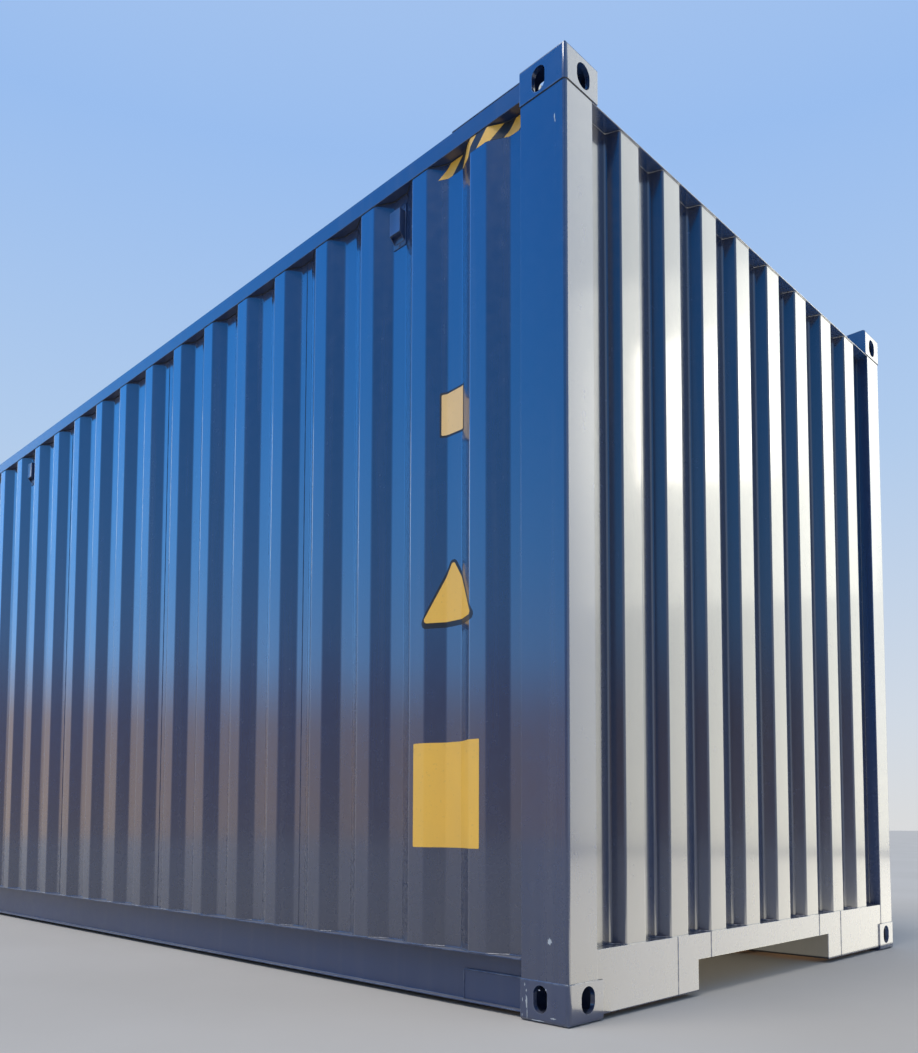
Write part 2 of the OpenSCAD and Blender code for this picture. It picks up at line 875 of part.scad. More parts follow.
// Keepers on the sill and the header: a back plate and two side lugs for each cam
module cam_keepers() {
    back_x = rear_face_x - keeper_back;
    color(paint)
    for (y = [-outer_bar_y, -inner_bar_y, inner_bar_y, outer_bar_y])
        for (z = [floor_top - keeper_h, door_header_z])
            translate([0, y, z]) {
                translate([back_x, -keeper_half_w, 0])
                    cube([keeper_back, 2 * keeper_half_w, keeper_h]);
                for (lug_y = [-keeper_half_w, keeper_half_w - keeper_lug])
                    translate([gear_out_x, lug_y, 0])
                        cube([rear_face_x - gear_out_x, keeper_lug, keeper_h]);
            }
}

// Brackets that hold the locking bars to the leaves
module bar_brackets() {
    levels = [
        leaf_bottom + rail_h / 2,
        panel_z0 + trough_step + trough_flat / 2,
        panel_z0 + (trough_count - 1) * trough_step + trough_flat / 2,
        leaf_top - rail_h / 2
    ];
    color(paint)
    for (y = [-outer_bar_y, -inner_bar_y, inner_bar_y, outer_bar_y])
        for (z = levels)
            translate([0, y, z - bracket_h / 2]) {
                translate([rear_face_x - bracket_t, -bracket_w / 2, 0])
                    cube([bracket_t, bracket_w, bracket_h]);
                difference() {
                    translate([gear_out_x, -bar_r - bracket_t, 0])
                        cube([rear_face_x - gear_out_x, bar_d + 2 * bracket_t, bracket_h]);
                    translate([bar_x, 0, -over])
                        cylinder(d = bar_d + 2 * bar_clearance, h = bracket_h + 2 * over);
                }
            }
}

// Handles: flat bars from each locking bar towards its neighbour
module door_handles() {
    color(paint)
    for (side = [0, 1])
        mirror([0, side, 0]) {
            translate([bar_x - handle_t / 2, inner_bar_y + hub_reach, low_handle_z - handle_h / 2])
                cube([handle_t, handle_l, handle_h]);
            translate([
                bar_x - handle_t / 2,
                outer_bar_y - hub_reach - handle_l,
                low_handle_z + handle_step - handle_h / 2
            ])
                cube([handle_t, handle_l, handle_h]);
        }
}

// Catches that the handle ends rest on
module handle_catches() {
    catch_w = 46;
    catch_t = 8;
    back = 60;
    color(paint)
    for (side = [0, 1])
        mirror([0, side, 0])
            for (place = [
                [inner_bar_y + hub_reach + handle_l - back - catch_w, low_handle_z],
                [outer_bar_y - hub_reach - handle_l + back, low_handle_z + handle_step]
            ])
                translate([rear_face_x, place[0], place[1] - handle_h / 2 - catch_t]) {
                    translate([gear_out_x - rear_face_x, 0, 0])
                        cube([rear_face_x - gear_out_x, catch_w, catch_t]);
                    translate([-catch_t / 2, 0, 0])
                        cube([catch_t / 2, catch_w, handle_h + 2 * catch_t]);
                }
}

// Hinge straps: a knuckle round the pin and a strap on the leaf
module hinge_straps() {
    span = leaf_top - leaf_bottom - 2 * hinge_from_end;
    color(paint)
    for (side = [0, 1])
        mirror([0, side, 0])
            for (i = [0 : hinge_count - 1])
                translate([0, 0, leaf_bottom + hinge_from_end + i * span / (hinge_count - 1)])
                    difference() {
                        union() {
                            translate([hinge_x, hinge_y, -knuckle_h / 2])
                                cylinder(d = knuckle_d, h = knuckle_h);
                            translate([
                                rear_face_x - strap_t,
                                leaf_outer_y - strap_l,
                                -strap_h / 2
                            ])
                                cube([strap_t, hinge_y - leaf_outer_y + strap_l, strap_h]);
                        }
                        translate([hinge_x, hinge_y, -knuckle_h / 2 - over])
                            cylinder(
                                d = hinge_pin_d + 2 * hinge_play,
                                h = knuckle_h + 2 * over
                            );
                    }
}

// Hinge lugs on the rear posts, each pair with its pin
module hinge_lugs() {
    span = leaf_top - leaf_bottom - 2 * hinge_from_end;
    lug_gap = 1;
    color(paint)
    for (side = [0, 1])
        mirror([0, side, 0])
            for (i = [0 : hinge_count - 1])
                translate([0, 0, leaf_bottom + hinge_from_end + i * span / (hinge_count - 1)]) {
                    for (end = [0, 1])
                        mirror([0, 0, end])
                            translate([0, 0, knuckle_h / 2 + lug_gap]) {
                                translate([hinge_x, hinge_y, 0])
                                    cylinder(d = knuckle_d, h = hinge_lug_t);
                                translate([hinge_x, hinge_y - knuckle_d / 2, 0])
                                    cube([
                                        rear_face_x - hinge_x,
                                        knuckle_d,
                                        hinge_lug_t
                                    ]);
                            }
                    translate([hinge_x, hinge_y, -knuckle_h / 2 - lug_gap - hinge_lug_t])
                        cylinder(
                            d = hinge_pin_d,
                            h = knuckle_h + 2 * lug_gap + 2 * hinge_lug_t
                        );
                }
}

// Vents: small housings in the recesses under the top rails
module vents() {
    flange_h = vent_h + vent_flange_up + vent_flange_down;
    color(paint)
    for (side = [0, 1])
        mirror([0, side, 0])
            for (recess = [vent_first, vent_second, vent_third, vent_last])
                translate([
                    frame_end_x - side_first_flat - recess * side_pitch + side_inner / 2,
                    side_recess_y,
                    vent_top - flange_h
                ]) {
                    translate([-vent_flange_w / 2, 0, 0])
                        cube([vent_flange_w, vent_flange_t, flange_h]);
                    translate([-vent_w / 2, 0, vent_flange_down])
                        cube([vent_w, vent_depth, vent_h]);
                }
}

top_front_left_casting();  // casting_top_front_left
right_side() top_front_left_casting();  // casting_top_front_right
to_rear() top_front_left_casting();  // casting_top_rear_left
right_side() to_rear() top_front_left_casting();  // casting_top_rear_right
to_bottom() top_front_left_casting();  // casting_bottom_front_left
right_side() to_bottom() top_front_left_casting();  // casting_bottom_front_right
to_rear() to_bottom() top_front_left_casting();  // casting_bottom_rear_left
right_side() to_rear() to_bottom() top_front_left_casting();  // casting_bottom_rear_right
front_post_left();
right_side() front_post_left();  // front_post_right
rear_post_left();
right_side() rear_post_left();  // rear_post_right
bottom_rail_left();
right_side() bottom_rail_left();  // bottom_rail_right
rail_end_plates();
top_rail_left();
right_side() top_rail_left();  // top_rail_right
side_wall_left();
right_side() side_wall_left();  // side_wall_right
front_wall();
front_sill();
front_header();
header_plates();
roof();
roof_corner_plates();
floor();
cross_members();
tunnel_plate();
tunnel_bolster();
tunnel_outriggers_left();
right_side() tunnel_outriggers_left();  // tunnel_outriggers_right
door_sill();
door_header();
door_frame_left();
right_side() door_frame_left();  // door_frame_right
door_panels();
door_seals();
lock_bar(inner_bar_y, low_handle_z, 1);  // lock_bar_left_inner
lock_bar(outer_bar_y, low_handle_z + handle_step, -1);  // lock_bar_left_outer
right_side() lock_bar(inner_bar_y, low_handle_z, 1);  // lock_bar_right_inner
right_side() lock_bar(outer_bar_y, low_handle_z + handle_step, -1);  // lock_bar_right_outer
cam_keepers();
bar_brackets();
door_handles();
handle_catches();
hinge_straps();
hinge_lugs();
vents();
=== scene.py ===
"""Looks of a forty-foot high-cube shipping container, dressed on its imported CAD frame.

Lengths are metres. +X is the blind front end, -X the doors, -Y the right side, +Z up.
"""

import math

import bmesh
import bpy
from mathutils import Matrix, Vector


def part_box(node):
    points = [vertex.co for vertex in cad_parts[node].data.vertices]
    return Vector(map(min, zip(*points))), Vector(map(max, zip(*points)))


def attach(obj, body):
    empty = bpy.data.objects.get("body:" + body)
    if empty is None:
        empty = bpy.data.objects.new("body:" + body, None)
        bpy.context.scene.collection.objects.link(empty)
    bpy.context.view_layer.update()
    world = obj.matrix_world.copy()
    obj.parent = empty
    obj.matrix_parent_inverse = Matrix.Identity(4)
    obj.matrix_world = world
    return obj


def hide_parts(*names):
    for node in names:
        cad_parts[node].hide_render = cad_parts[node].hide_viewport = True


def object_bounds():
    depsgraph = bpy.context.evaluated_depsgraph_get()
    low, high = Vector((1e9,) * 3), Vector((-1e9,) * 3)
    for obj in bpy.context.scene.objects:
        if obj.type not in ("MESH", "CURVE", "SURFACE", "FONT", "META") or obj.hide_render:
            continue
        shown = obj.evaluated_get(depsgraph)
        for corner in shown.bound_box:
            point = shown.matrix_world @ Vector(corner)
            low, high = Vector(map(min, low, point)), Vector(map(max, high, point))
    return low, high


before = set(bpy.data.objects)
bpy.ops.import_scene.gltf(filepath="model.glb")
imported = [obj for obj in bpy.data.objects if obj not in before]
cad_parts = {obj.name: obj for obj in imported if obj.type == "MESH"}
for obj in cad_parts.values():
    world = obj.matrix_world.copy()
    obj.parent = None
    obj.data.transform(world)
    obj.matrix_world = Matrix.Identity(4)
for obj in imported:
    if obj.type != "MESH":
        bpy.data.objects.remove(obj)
cad_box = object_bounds()
bpy.ops.object.select_all(action="DESELECT")
scene = bpy.context.scene
scene.view_settings.view_transform = "Standard"


# Studio: a pale floor under a pale backdrop, lit from high above. The gloss of the paint gets
# its picture from soft panels beyond the blind end and from a card beside the long side, dark
# at its foot and blue above. None of it belongs to the container.
def node(tree, kind, inputs=(), **settings):
    """Adds a shader node with its settings, and fills or wires its inputs."""
    made = tree.nodes.new("ShaderNode" + kind)
    for name, value in settings.items():
        setattr(made, name, value)
    for name, value in dict(inputs).items():
        if isinstance(value, bpy.types.NodeSocket):
            tree.links.new(value, made.inputs[name])
        else:
            made.inputs[name].default_value = value
    return made


def ramp(tree, value, stops):
    """A colour ramp over a value, from (place, colour) stops."""
    made = node(tree, "ValToRGB", {"Fac": value})
    elements = made.color_ramp.elements
    while len(elements) < len(stops):
        elements.new(1.0)
    for element, (place, colour) in zip(elements, stops):
        element.position = place
        element.color = (*colour, 1.0)
    return made.outputs["Color"]


def blend(tree, share, first, second):
    """Mixes two colours."""
    made = node(tree, "Mix", {"Factor": share}, data_type="RGBA")
    for socket, value in ((made.inputs[6], first), (made.inputs[7], second)):
        if isinstance(value, bpy.types.NodeSocket):
            tree.links.new(value, socket)
        else:
            socket.default_value = value
    return made.outputs[2]


def calc(tree, operation, *values, clamp=False):
    """A math node over numbers and sockets."""
    return node(tree, "Math", enumerate(values), operation=operation, use_clamp=clamp).outputs[0]


def backdrop():
    """The world: pale near the floor and sky blue above, the same for every kind of ray."""
    world = bpy.data.worlds.new("backdrop")
    world.use_nodes = True
    tree = world.node_tree
    tree.nodes.clear()
    direction = node(tree, "TexCoord").outputs["Generated"]
    height = node(tree, "SeparateXYZ", {"Vector": direction}).outputs["Z"]
    colour = ramp(tree, height, [
        (0.0, (0.70, 0.71, 0.72)), (0.10, (0.64, 0.70, 0.78)), (0.36, (0.44, 0.60, 0.84)),
        (0.60, (0.32, 0.51, 0.86)), (1.0, (0.50, 0.62, 0.82)),
    ])
    light = node(tree, "Background", {"Color": colour, "Strength": 1.0})
    end = node(tree, "OutputWorld")
    tree.links.new(light.outputs[0], end.inputs["Surface"])
    scene.world = world


card_distance, card_height, card_from, card_to, card_steps = 30.0, 46.0, 199.0, 330.0, 32


def sky_card():
    """A tall curved card beside the long side, for the paint to mirror: warm grey at its foot
    and blue above, bright far back and dim near the camera."""
    bpy.ops.object.select_all(action="DESELECT")
    bpy.ops.mesh.primitive_grid_add(x_subdivisions=card_steps, y_subdivisions=1, size=1.0)
    card = bpy.context.object
    card.name = "sky_card"
    for vertex in card.data.vertices:
        turn = math.radians(card_from + (card_to - card_from) * (vertex.co.x + 0.5))
        vertex.co = (card_distance * math.cos(turn), card_distance * math.sin(turn),
                     card_height * (vertex.co.y + 0.5))
    material = bpy.data.materials.new("sky_card")
    material.use_nodes = True
    tree = material.node_tree
    tree.nodes.clear()
    place = node(tree, "SeparateXYZ", {"Vector": node(tree, "TexCoord").outputs["Object"]})
    colour = ramp(tree, calc(tree, "DIVIDE", place.outputs["Z"], card_height), [
        (0.0, (0.76, 0.58, 0.44)), (0.095, (0.70, 0.53, 0.41)), (0.15, (0.50, 1.10, 2.05)),
        (0.24, (0.28, 0.96, 2.15)), (0.38, (0.12, 0.72, 2.00)), (0.60, (0.05, 0.50, 1.75)),
    ])
    along = node(tree, "VectorMath", {0: node(tree, "TexCoord").outputs["Object"],
                                      1: (0.60, -0.80, 0.0)}, operation="DOT_PRODUCT")
    share = calc(tree, "MULTIPLY_ADD", along.outputs["Value"], 0.5 / card_distance, 0.5)
    strength = ramp(tree, share, [
        (0.35, (1.05, 1.05, 1.05)), (0.65, (0.92, 0.92, 0.92)), (0.95, (0.42, 0.42, 0.42)),
    ])
    glow = node(tree, "Emission", {"Color": colour, "Strength": strength})
    end = node(tree, "OutputMaterial")
    tree.links.new(glow.outputs[0], end.inputs["Surface"])
    card.data.materials.append(material)
    card.visible_camera = card.visible_diffuse = card.visible_shadow = False


def floor_finish():
    """Pale matt floor paint with a faint mottle."""
    material = bpy.data.materials.new("studio_floor")
    material.use_nodes = True
    tree = material.node_tree
    place = node(tree, "TexCoord").outputs["Object"]
    mottle = node(tree, "TexNoise", {"Vector": place, "Scale": 0.7, "Detail": 4.0}).outputs["Fac"]
    shader = tree.nodes["Principled BSDF"]
    colour = ramp(tree, mottle, [(0.3, (0.43, 0.395, 0.35)), (0.7, (0.47, 0.435, 0.39))])
    tree.links.new(colour, shader.inputs["Base Color"])
    shader.inputs["Roughness"].default_value = 0.9
    return material


def panel(name, aim, azimuth, elevation, distance, size, colour, brightness):
    """A soft panel that faces a point; brightness is the radiance of its face."""
    light = bpy.data.lights.new(name, "AREA")
    light.shape = "RECTANGLE"
    light.size, light.size_y = size
    light.color = colour
    light.energy = brightness * math.pi * size[0] * size[1]
    lamp = bpy.data.objects.new(name, light)
    scene.collection.objects.link(lamp)
    a, e = math.radians(azimuth), math.radians(elevation)
    away = Vector((math.cos(a) * math.cos(e), math.sin(a) * math.cos(e), math.sin(e)))
    lamp.location = Vector(aim) + away * distance
    lamp.rotation_euler = away.to_track_quat("Z", "Y").to_euler()
    lamp.visible_camera = False
    lamp.light_linking.receiver_collection = spared
    return lamp


backdrop()
sky_card()
bpy.ops.mesh.primitive_plane_add(size=160.0, location=(0.0, 0.0, 0.0))
studio_floor = bpy.context.object
studio_floor.name = "studio_floor"
studio_floor.data.materials.append(floor_finish())

spared = bpy.data.collections.new("spared_by_panels")
spared.objects.link(studio_floor)
spared.collection_objects[0].light_linking.link_state = "EXCLUDE"
front_centre = (cad_box[1].x, 0.0, 1.4)
panel("glare_panel", front_centre, 62.0, 25.0, 16.0, (8.0, 18.0), (1.0, 0.95, 0.74), 2.0)
panel("glare_middle", front_centre, 61.0, 24.0, 15.6, (5.5, 6.0), (1.0, 0.95, 0.80), 1.0)
panel("glare_core", front_centre, 60.0, 26.5, 15.0, (2.4, 2.4), (1.0, 0.93, 0.78), 5.0)
# A card that lies on the floor beyond the blind end and faces up, for the foot of its mirror image
apron_card = panel("apron_card", (8.95, 5.34, 0.0), 0.0, -90.0, -0.02, (13.9, 5.2),
                   (1.0, 0.94, 0.76), 2.2)
apron_card.rotation_euler = (math.pi, 0.0, math.radians(62.0))
door_centre = (cad_box[0].x, 0.0, 1.4)
panel("door_panel", door_centre, 186.0, 38.0, 12.0, (9.0, 4.0), (1.0, 0.98, 0.94), 1.6)
high_light = bpy.data.lights.new("high_light", "SUN")
high_light.energy, high_light.angle = 2.1, math.radians(36.0)
high_light.color = (1.0, 0.95, 0.88)
high_lamp = bpy.data.objects.new("high_light", high_light)
scene.collection.objects.link(high_lamp)
high_lamp.rotation_euler = Vector((-0.02, -0.42, 0.91)).to_track_quat("Z", "Y").to_euler()

# The camera fitted to the corners and folds of the container in the 918 by 1053 photograph
camera_place = (7.711, -3.294, 0.571)
camera_yaw, camera_pitch, camera_roll = 134.60, 3.56, 0.18
frame_height_px, focal_px, axis_row_px = 1053, 928.1, 764.9
camera = bpy.data.objects.new("camera", bpy.data.cameras.new("camera"))
scene.collection.objects.link(camera)
camera.location = camera_place
look = Matrix.Rotation(math.radians(camera_yaw - 90.0), 4, "Z")
look @= Matrix.Rotation(math.radians(90.0 + camera_pitch), 4, "X")
look @= Matrix.Rotation(math.radians(camera_roll), 4, "Z")
camera.rotation_euler = look.to_euler()
camera.data.sensor_width = 36.0
camera.data.lens = camera.data.sensor_width * focal_px / frame_height_px
camera.data.shift_y = (axis_row_px - frame_height_px / 2) / frame_height_px
camera.data.clip_start, camera.data.clip_end = 0.05, 300.0
scene.camera = camera


# Corner castings: eight hollow cast steel blocks that carry the stack, painted with the frame.
# Slings, cones and twistlocks rub the paint off their edges and hole rims.
def shader_group(name, inputs, outputs):
    """A new node group with named sockets, and the nodes at its two ends."""
    group = bpy.data.node_groups.new(name, "ShaderNodeTree")
    for label, kind, value in inputs:
        socket = group.interface.new_socket(label, in_out="INPUT", socket_type="NodeSocket" + kind)
        socket.default_value = value
    for label, kind in outputs:
        group.interface.new_socket(label, in_out="OUTPUT", socket_type="NodeSocket" + kind)
    return group, group.nodes.new("NodeGroupInput"), group.nodes.new("NodeGroupOutput")


def spread(tree, value, low, high, bottom=0.0, top=1.0):
    """Stretches a value's range from low..high to bottom..top, and holds it there."""
    span = {"Value": value, "From Min": low, "From Max": high, "To Min": bottom, "To Max": top}
    return node(tree, "MapRange", span, clamp=True).outputs["Result"]


def patches(tree, stretch, scale, detail, low, high):
    """Noise on object coordinates, stretched along the axes, with its middle spread over 0 to 1."""
    place = node(tree, "TexCoord").outputs["Object"]
    stretched = node(tree, "Mapping", {"Vector": place, "Scale": stretch}).outputs[0]
    noise = node(tree, "TexNoise", {"Vector": stretched, "Scale": scale, "Detail": detail})
    return spread(tree, noise.outputs["Fac"], low, high)


def weathered_paint():
    """Paint over steel: uneven tone, a brownish film that thickens downwards, partly road grime and
    partly a painted reflection of the dark ground, dust on level faces, rain streaks, rubbed edges,
    the slow waves of pressed sheet and a fine orange peel."""
    group, given, result = shader_group("weathered_paint", [
        ("Paint", "Color", (0.02, 0.06, 0.2, 1.0)), ("Rubbed", "Color", (0.30, 0.34, 0.40, 1.0)),
        ("Gloss", "Float", 0.3), ("Film", "Float", 0.6), ("Film Height", "Float", 1.1),
        ("Dust", "Float", 0.35), ("Streaks", "Float", 0.06), ("Wear", "Float", 0.5),
        ("Wear Width", "Float", 0.004), ("Waves", "Float", 0.0), ("Grain", "Float", 0.000004),
    ], [("Color", "Color"), ("Roughness", "Float"), ("Height", "Float")])
    use = given.outputs
    surface = node(group, "NewGeometry")
    place = node(group, "SeparateXYZ", {"Vector": node(group, "TexCoord").outputs["Object"]})
    facing = node(group, "SeparateXYZ", {"Vector": surface.outputs["Normal"]})

    tone = patches(group, (1.0, 1.0, 0.4), 1.1, 3.0, 0.3, 0.7)
    mottle = patches(group, (1.0, 1.0, 1.0), 26.0, 4.0, 0.3, 0.7)
    shade = calc(group, "MULTIPLY_ADD", tone, 0.14, 0.9)
    shade = calc(group, "MULTIPLY_ADD", mottle, 0.05, shade)
    painted = node(group, "VectorMath", {0: use["Paint"], "Scale": shade}, operation="SCALE")

    # The film: darker and browner towards the bottom, partly road grime and partly a painted
    # reflection of the dark ground.
    cloud = patches(group, (1.0, 1.0, 0.3), 2.4, 5.0, 0.2, 0.75)
    drift = calc(group, "MULTIPLY_ADD", cloud, 0.22, place.outputs["Z"])
    level = calc(group, "DIVIDE", drift, use["Film Height"])
    film = calc(group, "MULTIPLY", spread(group, level, 1.1, 0.2), use["Film"])
    filmed_and_reflected = blend(group, film, painted.outputs[0], (0.050, 0.043, 0.040, 1.0))

    lying = spread(group, facing.outputs["Z"], 0.6, 0.95)
    runs = patches(group, (1.0, 1.0, 0.035), 21.0, 3.0, 0.52, 0.78)
    lay = calc(group, "MULTIPLY", lying, calc(group, "MULTIPLY_ADD", cloud, 0.7, 0.5))
    dirt = calc(group, "MULTIPLY", lay, use["Dust"])
    dirt = calc(group, "MULTIPLY_ADD", runs, use["Streaks"], dirt, clamp=True)
    dusty = blend(group, dirt, filmed_and_reflected, (0.27, 0.25, 0.22, 1.0))

    soft = node(group, "Bevel", {"Radius": use["Wear Width"]}, samples=4).outputs[0]
    alike = node(group, "VectorMath", {0: soft, 1: surface.outputs["True Normal"]},
                 operation="DOT_PRODUCT").outputs["Value"]
    patchy = patches(group, (1.0, 1.0, 1.0), 38.0, 5.0, 0.40, 0.60)
    rubs = patches(group, (1.0, 1.0, 1.0), 5.0, 2.0, 0.30, 0.60)
    chips = calc(group, "MULTIPLY", spread(group, alike, 0.995, 0.85), patchy)
    chips = calc(group, "MULTIPLY", chips, calc(group, "MULTIPLY", rubs, use["Wear"]), clamp=True)

    rough = calc(group, "MULTIPLY_ADD", dirt, 0.45, use["Gloss"])
    rough = calc(group, "MULTIPLY_ADD", film, 0.06, rough)
    rough = calc(group, "MULTIPLY_ADD", mottle, 0.05, rough, clamp=True)
    wave = calc(group, "MULTIPLY", patches(group, (1.0, 1.0, 0.45), 2.6, 2.0, 0.0, 1.0), use["Waves"])
    peel = patches(group, (1.0, 1.0, 1.0), 210.0, 3.0, 0.0, 1.0)
    height = calc(group, "MULTIPLY_ADD", peel, use["Grain"], wave)
    group.links.new(blend(group, chips, dusty, use["Rubbed"]), result.inputs["Color"])
    group.links.new(rough, result.inputs["Roughness"])
    group.links.new(height, result.inputs["Height"])
    return group


paint_group = weathered_paint()
navy = (0.006, 0.026, 0.096, 1.0)


def painted(name, coat=1.0, **values):
    """A painted finish: the weathered paint group under a plain Principled shader."""
    material = bpy.data.materials.new(name)
    material.use_nodes = True
    tree = material.node_tree
    paint = tree.nodes.new("ShaderNodeGroup")
    paint.node_tree = paint_group
    paint.inputs["Paint"].default_value = navy
    for label, value in values.items():
        paint.inputs[label.replace("_", " ").title()].default_value = value
    shader = tree.nodes["Principled BSDF"]
    shader.inputs["Coat Weight"].default_value = coat
    shader.inputs["Coat Roughness"].default_value = 0.10
    shader.inputs["Coat IOR"].default_value = 1.6
    shader.inputs["Specular IOR Level"].default_value = 0.8
    bump = node(tree, "Bump", {"Height": paint.outputs["Height"], "Distance": 1.0})
    tree.links.new(paint.outputs["Color"], shader.inputs["Base Color"])
    tree.links.new(paint.outputs["Roughness"], shader.inputs["Roughness"])
    tree.links.new(bump.outputs["Normal"], shader.inputs["Normal"])
    return material


merge_distance = 0.00005


def dress(names, material, radius, segments=2):
    """Gives CAD nodes their finish, and rounds their edges with live modifiers."""
    for name in names:
        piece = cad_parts[name]
        piece.data.materials.clear()
        piece.data.materials.append(material)
        weld = piece.modifiers.new("merged", "WELD")
        weld.merge_threshold = merge_distance
        flat = piece.modifiers.new("flat_faces", "DECIMATE")
        flat.decimate_type = "DISSOLVE"
        flat.angle_limit = math.radians(0.5)
        edges = piece.modifiers.new("rounded_edges", "BEVEL")
        edges.limit_method = "ANGLE"
        edges.angle_limit = math.radians(22.0)
        edges.width = radius
        edges.segments = segments
        edges.use_clamp_overlap = True
        piece.modifiers.new("even_shading", "WEIGHTED_NORMAL")


def pick(*pieces):
    """Selects pieces alone, the first of them active."""
    bpy.ops.object.select_all(action="DESELECT")
    for piece in pieces:
        piece.select_set(True)
    bpy.context.view_layer.objects.active = pieces[0]


smooth_up_to = math.radians(40.0)


def even_out(piece):
    """Smooths a made piece, its flat faces kept flat up to their rounded edges."""
    pick(piece)
    bpy.ops.object.shade_smooth_by_angle(angle=smooth_up_to)
    even = piece.modifiers.new("even_shading", "WEIGHTED_NORMAL")
    even.keep_sharp = True
    bpy.ops.object.modifier_apply(modifier=even.name)


def finish(piece, name, material, stands_for=()):
    """Names a made piece, gives it its finish and fixes it to the container."""
    piece.name = piece.data.name = name
    piece.data.materials.clear()
    piece.data.materials.append(material)
    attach(piece, "root")
    if stands_for:
        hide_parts(*stands_for)
    return piece


def bead(name, paths, radius, material):
    """Weld beads along paths: uneven round strings of metal, made into one mesh."""
    curve = bpy.data.curves.new(name, "CURVE")
    curve.dimensions = "3D"
    curve.bevel_depth = radius
    curve.bevel_resolution = 1
    curve.use_fill_caps = True
    for path in paths:
        line = curve.splines.new("POLY")
        line.points.add(len(path) - 1)
        for step, (point, place) in enumerate(zip(line.points, path)):
            point.co = (*place, 1.0)
            point.radius = 1.0 + 0.14 * math.sin(2.4 * step) + 0.08 * math.sin(5.1 * step)
    piece = bpy.data.objects.new(name, curve)
    scene.collection.objects.link(piece)
    pick(piece)
    bpy.ops.object.convert(target="MESH")
    piece = bpy.context.object
    bpy.ops.object.shade_smooth()
    return finish(piece, name, material)


def in_steps(path, step):
    """The same path with a point at least every so often."""
    points = [Vector(path[0])]
    for end in map(Vector, path[1:]):
        start = points[-1]
        count = max(1, math.ceil((end - start).length / step))
        points += [start.lerp(end, (k + 1) / count) for k in range(count)]
    return [tuple(point) for point in points]


corner_round, rim_round = 0.013, 0.0035


def block(name, material):
    """A casting from its CAD solid: a wide round on the container's corner, rolled hole rims."""
    piece = bpy.data.objects.new(name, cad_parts[name].data.copy())
    scene.collection.objects.link(piece)
    pick(piece)
    far_x, far_y = (max(abs(corner[axis]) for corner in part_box(name)) for axis in (0, 1))
    bpy.ops.object.mode_set(mode="EDIT")
    bpy.ops.mesh.select_all(action="SELECT")
    bpy.ops.mesh.remove_doubles(threshold=merge_distance)
    bpy.ops.mesh.dissolve_limited(angle_limit=math.radians(0.5))
    bpy.ops.mesh.select_mode(type="EDGE")
    work = bmesh.from_edit_mesh(piece.data)
    for edge in work.edges:
        edge.select_set(all(abs(abs(vertex.co.x) - far_x) < 2 * merge_distance
                            and abs(abs(vertex.co.y) - far_y) < 2 * merge_distance
                            for vertex in edge.verts))
    bmesh.update_edit_mesh(piece.data)
    bpy.ops.mesh.bevel(offset=corner_round, segments=5, affect="EDGES")
    bpy.ops.object.mode_set(mode="OBJECT")
    rims = piece.modifiers.new("rims", "BEVEL")
    rims.width = rim_round
    rims.segments = 3
    rims.limit_method = "ANGLE"
    rims.angle_limit = math.radians(40.0)
    bpy.ops.object.modifier_apply(modifier=rims.name)
    even_out(piece)
    return finish(piece, f"block_{name}", material, (name,))


hands = {"right": -1.0, "left": 1.0}
ends = {"front": 1.0, "rear": -1.0}
castings = [f"casting_{level}_{end}_{side}" for level in ("bottom", "top")
            for end in ends for side in hands]
casting_steel = painted("casting_paint", gloss=0.26, film=0.12, film_height=0.6, dust=0.3,
                        wear=0.5, wear_width=0.007, grain=0.0002)
for name in castings:
    block(name, casting_steel)


# Posts: folded plate at the blind end and thick rolled section at the doors, gloss painted and
# welded all round to the castings below and above.
frame_steel = painted("frame_paint", gloss=0.22, film=0.30, dust=0.4, wear=0.5, waves=0.0010,
                      grain=0.000001)
dress(["front_post_right", "front_post_left"], frame_steel, 0.0030, 3)
dress(["rear_post_right", "rear_post_left"], frame_steel, 0.0015)
post_edge_x, post_face_x, post_inner_y, post_outer_y, post_bend = 5.918, 6.093, 1.080, 1.216, 0.0135
rear_post_x, rear_post_inner_y = -6.050, 1.170
casting_top_z, casting_seat_z, bead_step = 0.118, 2.778, 0.018
post_paths, joint_paths = [], []
for side in hands.values():
    for z, paths in ((casting_top_z, post_paths), (casting_seat_z, joint_paths)):
        corner = [(post_face_x - post_bend + post_bend * math.sin(turn),
                   side * (post_outer_y - post_bend + post_bend * math.cos(turn)), z)
                  for turn in (0.0, 0.52, 1.05, 1.57)]
        paths.append(in_steps([(post_edge_x, side * post_outer_y, z), *corner,
                               (post_face_x, side * post_inner_y, z)], bead_step))
        paths.append(in_steps([(-post_edge_x, side * post_outer_y, z),
                               (rear_post_x, side * post_outer_y, z),
                               (rear_post_x, side * rear_post_inner_y, z)], bead_step))
bead("post_welds", post_paths, 0.0024, frame_steel)
# Near-black beads where the posts meet the top castings: painted shade for the dark groove at that
# joint.
joint_shade_paint = painted("joint_shade_paint", coat=0.0, paint=(0.006, 0.008, 0.012, 1.0), gloss=0.6,
                       film=0.2, wear=0.0, grain=0.0002)
bead("post_joints", joint_paths, 0.0018, joint_shade_paint)


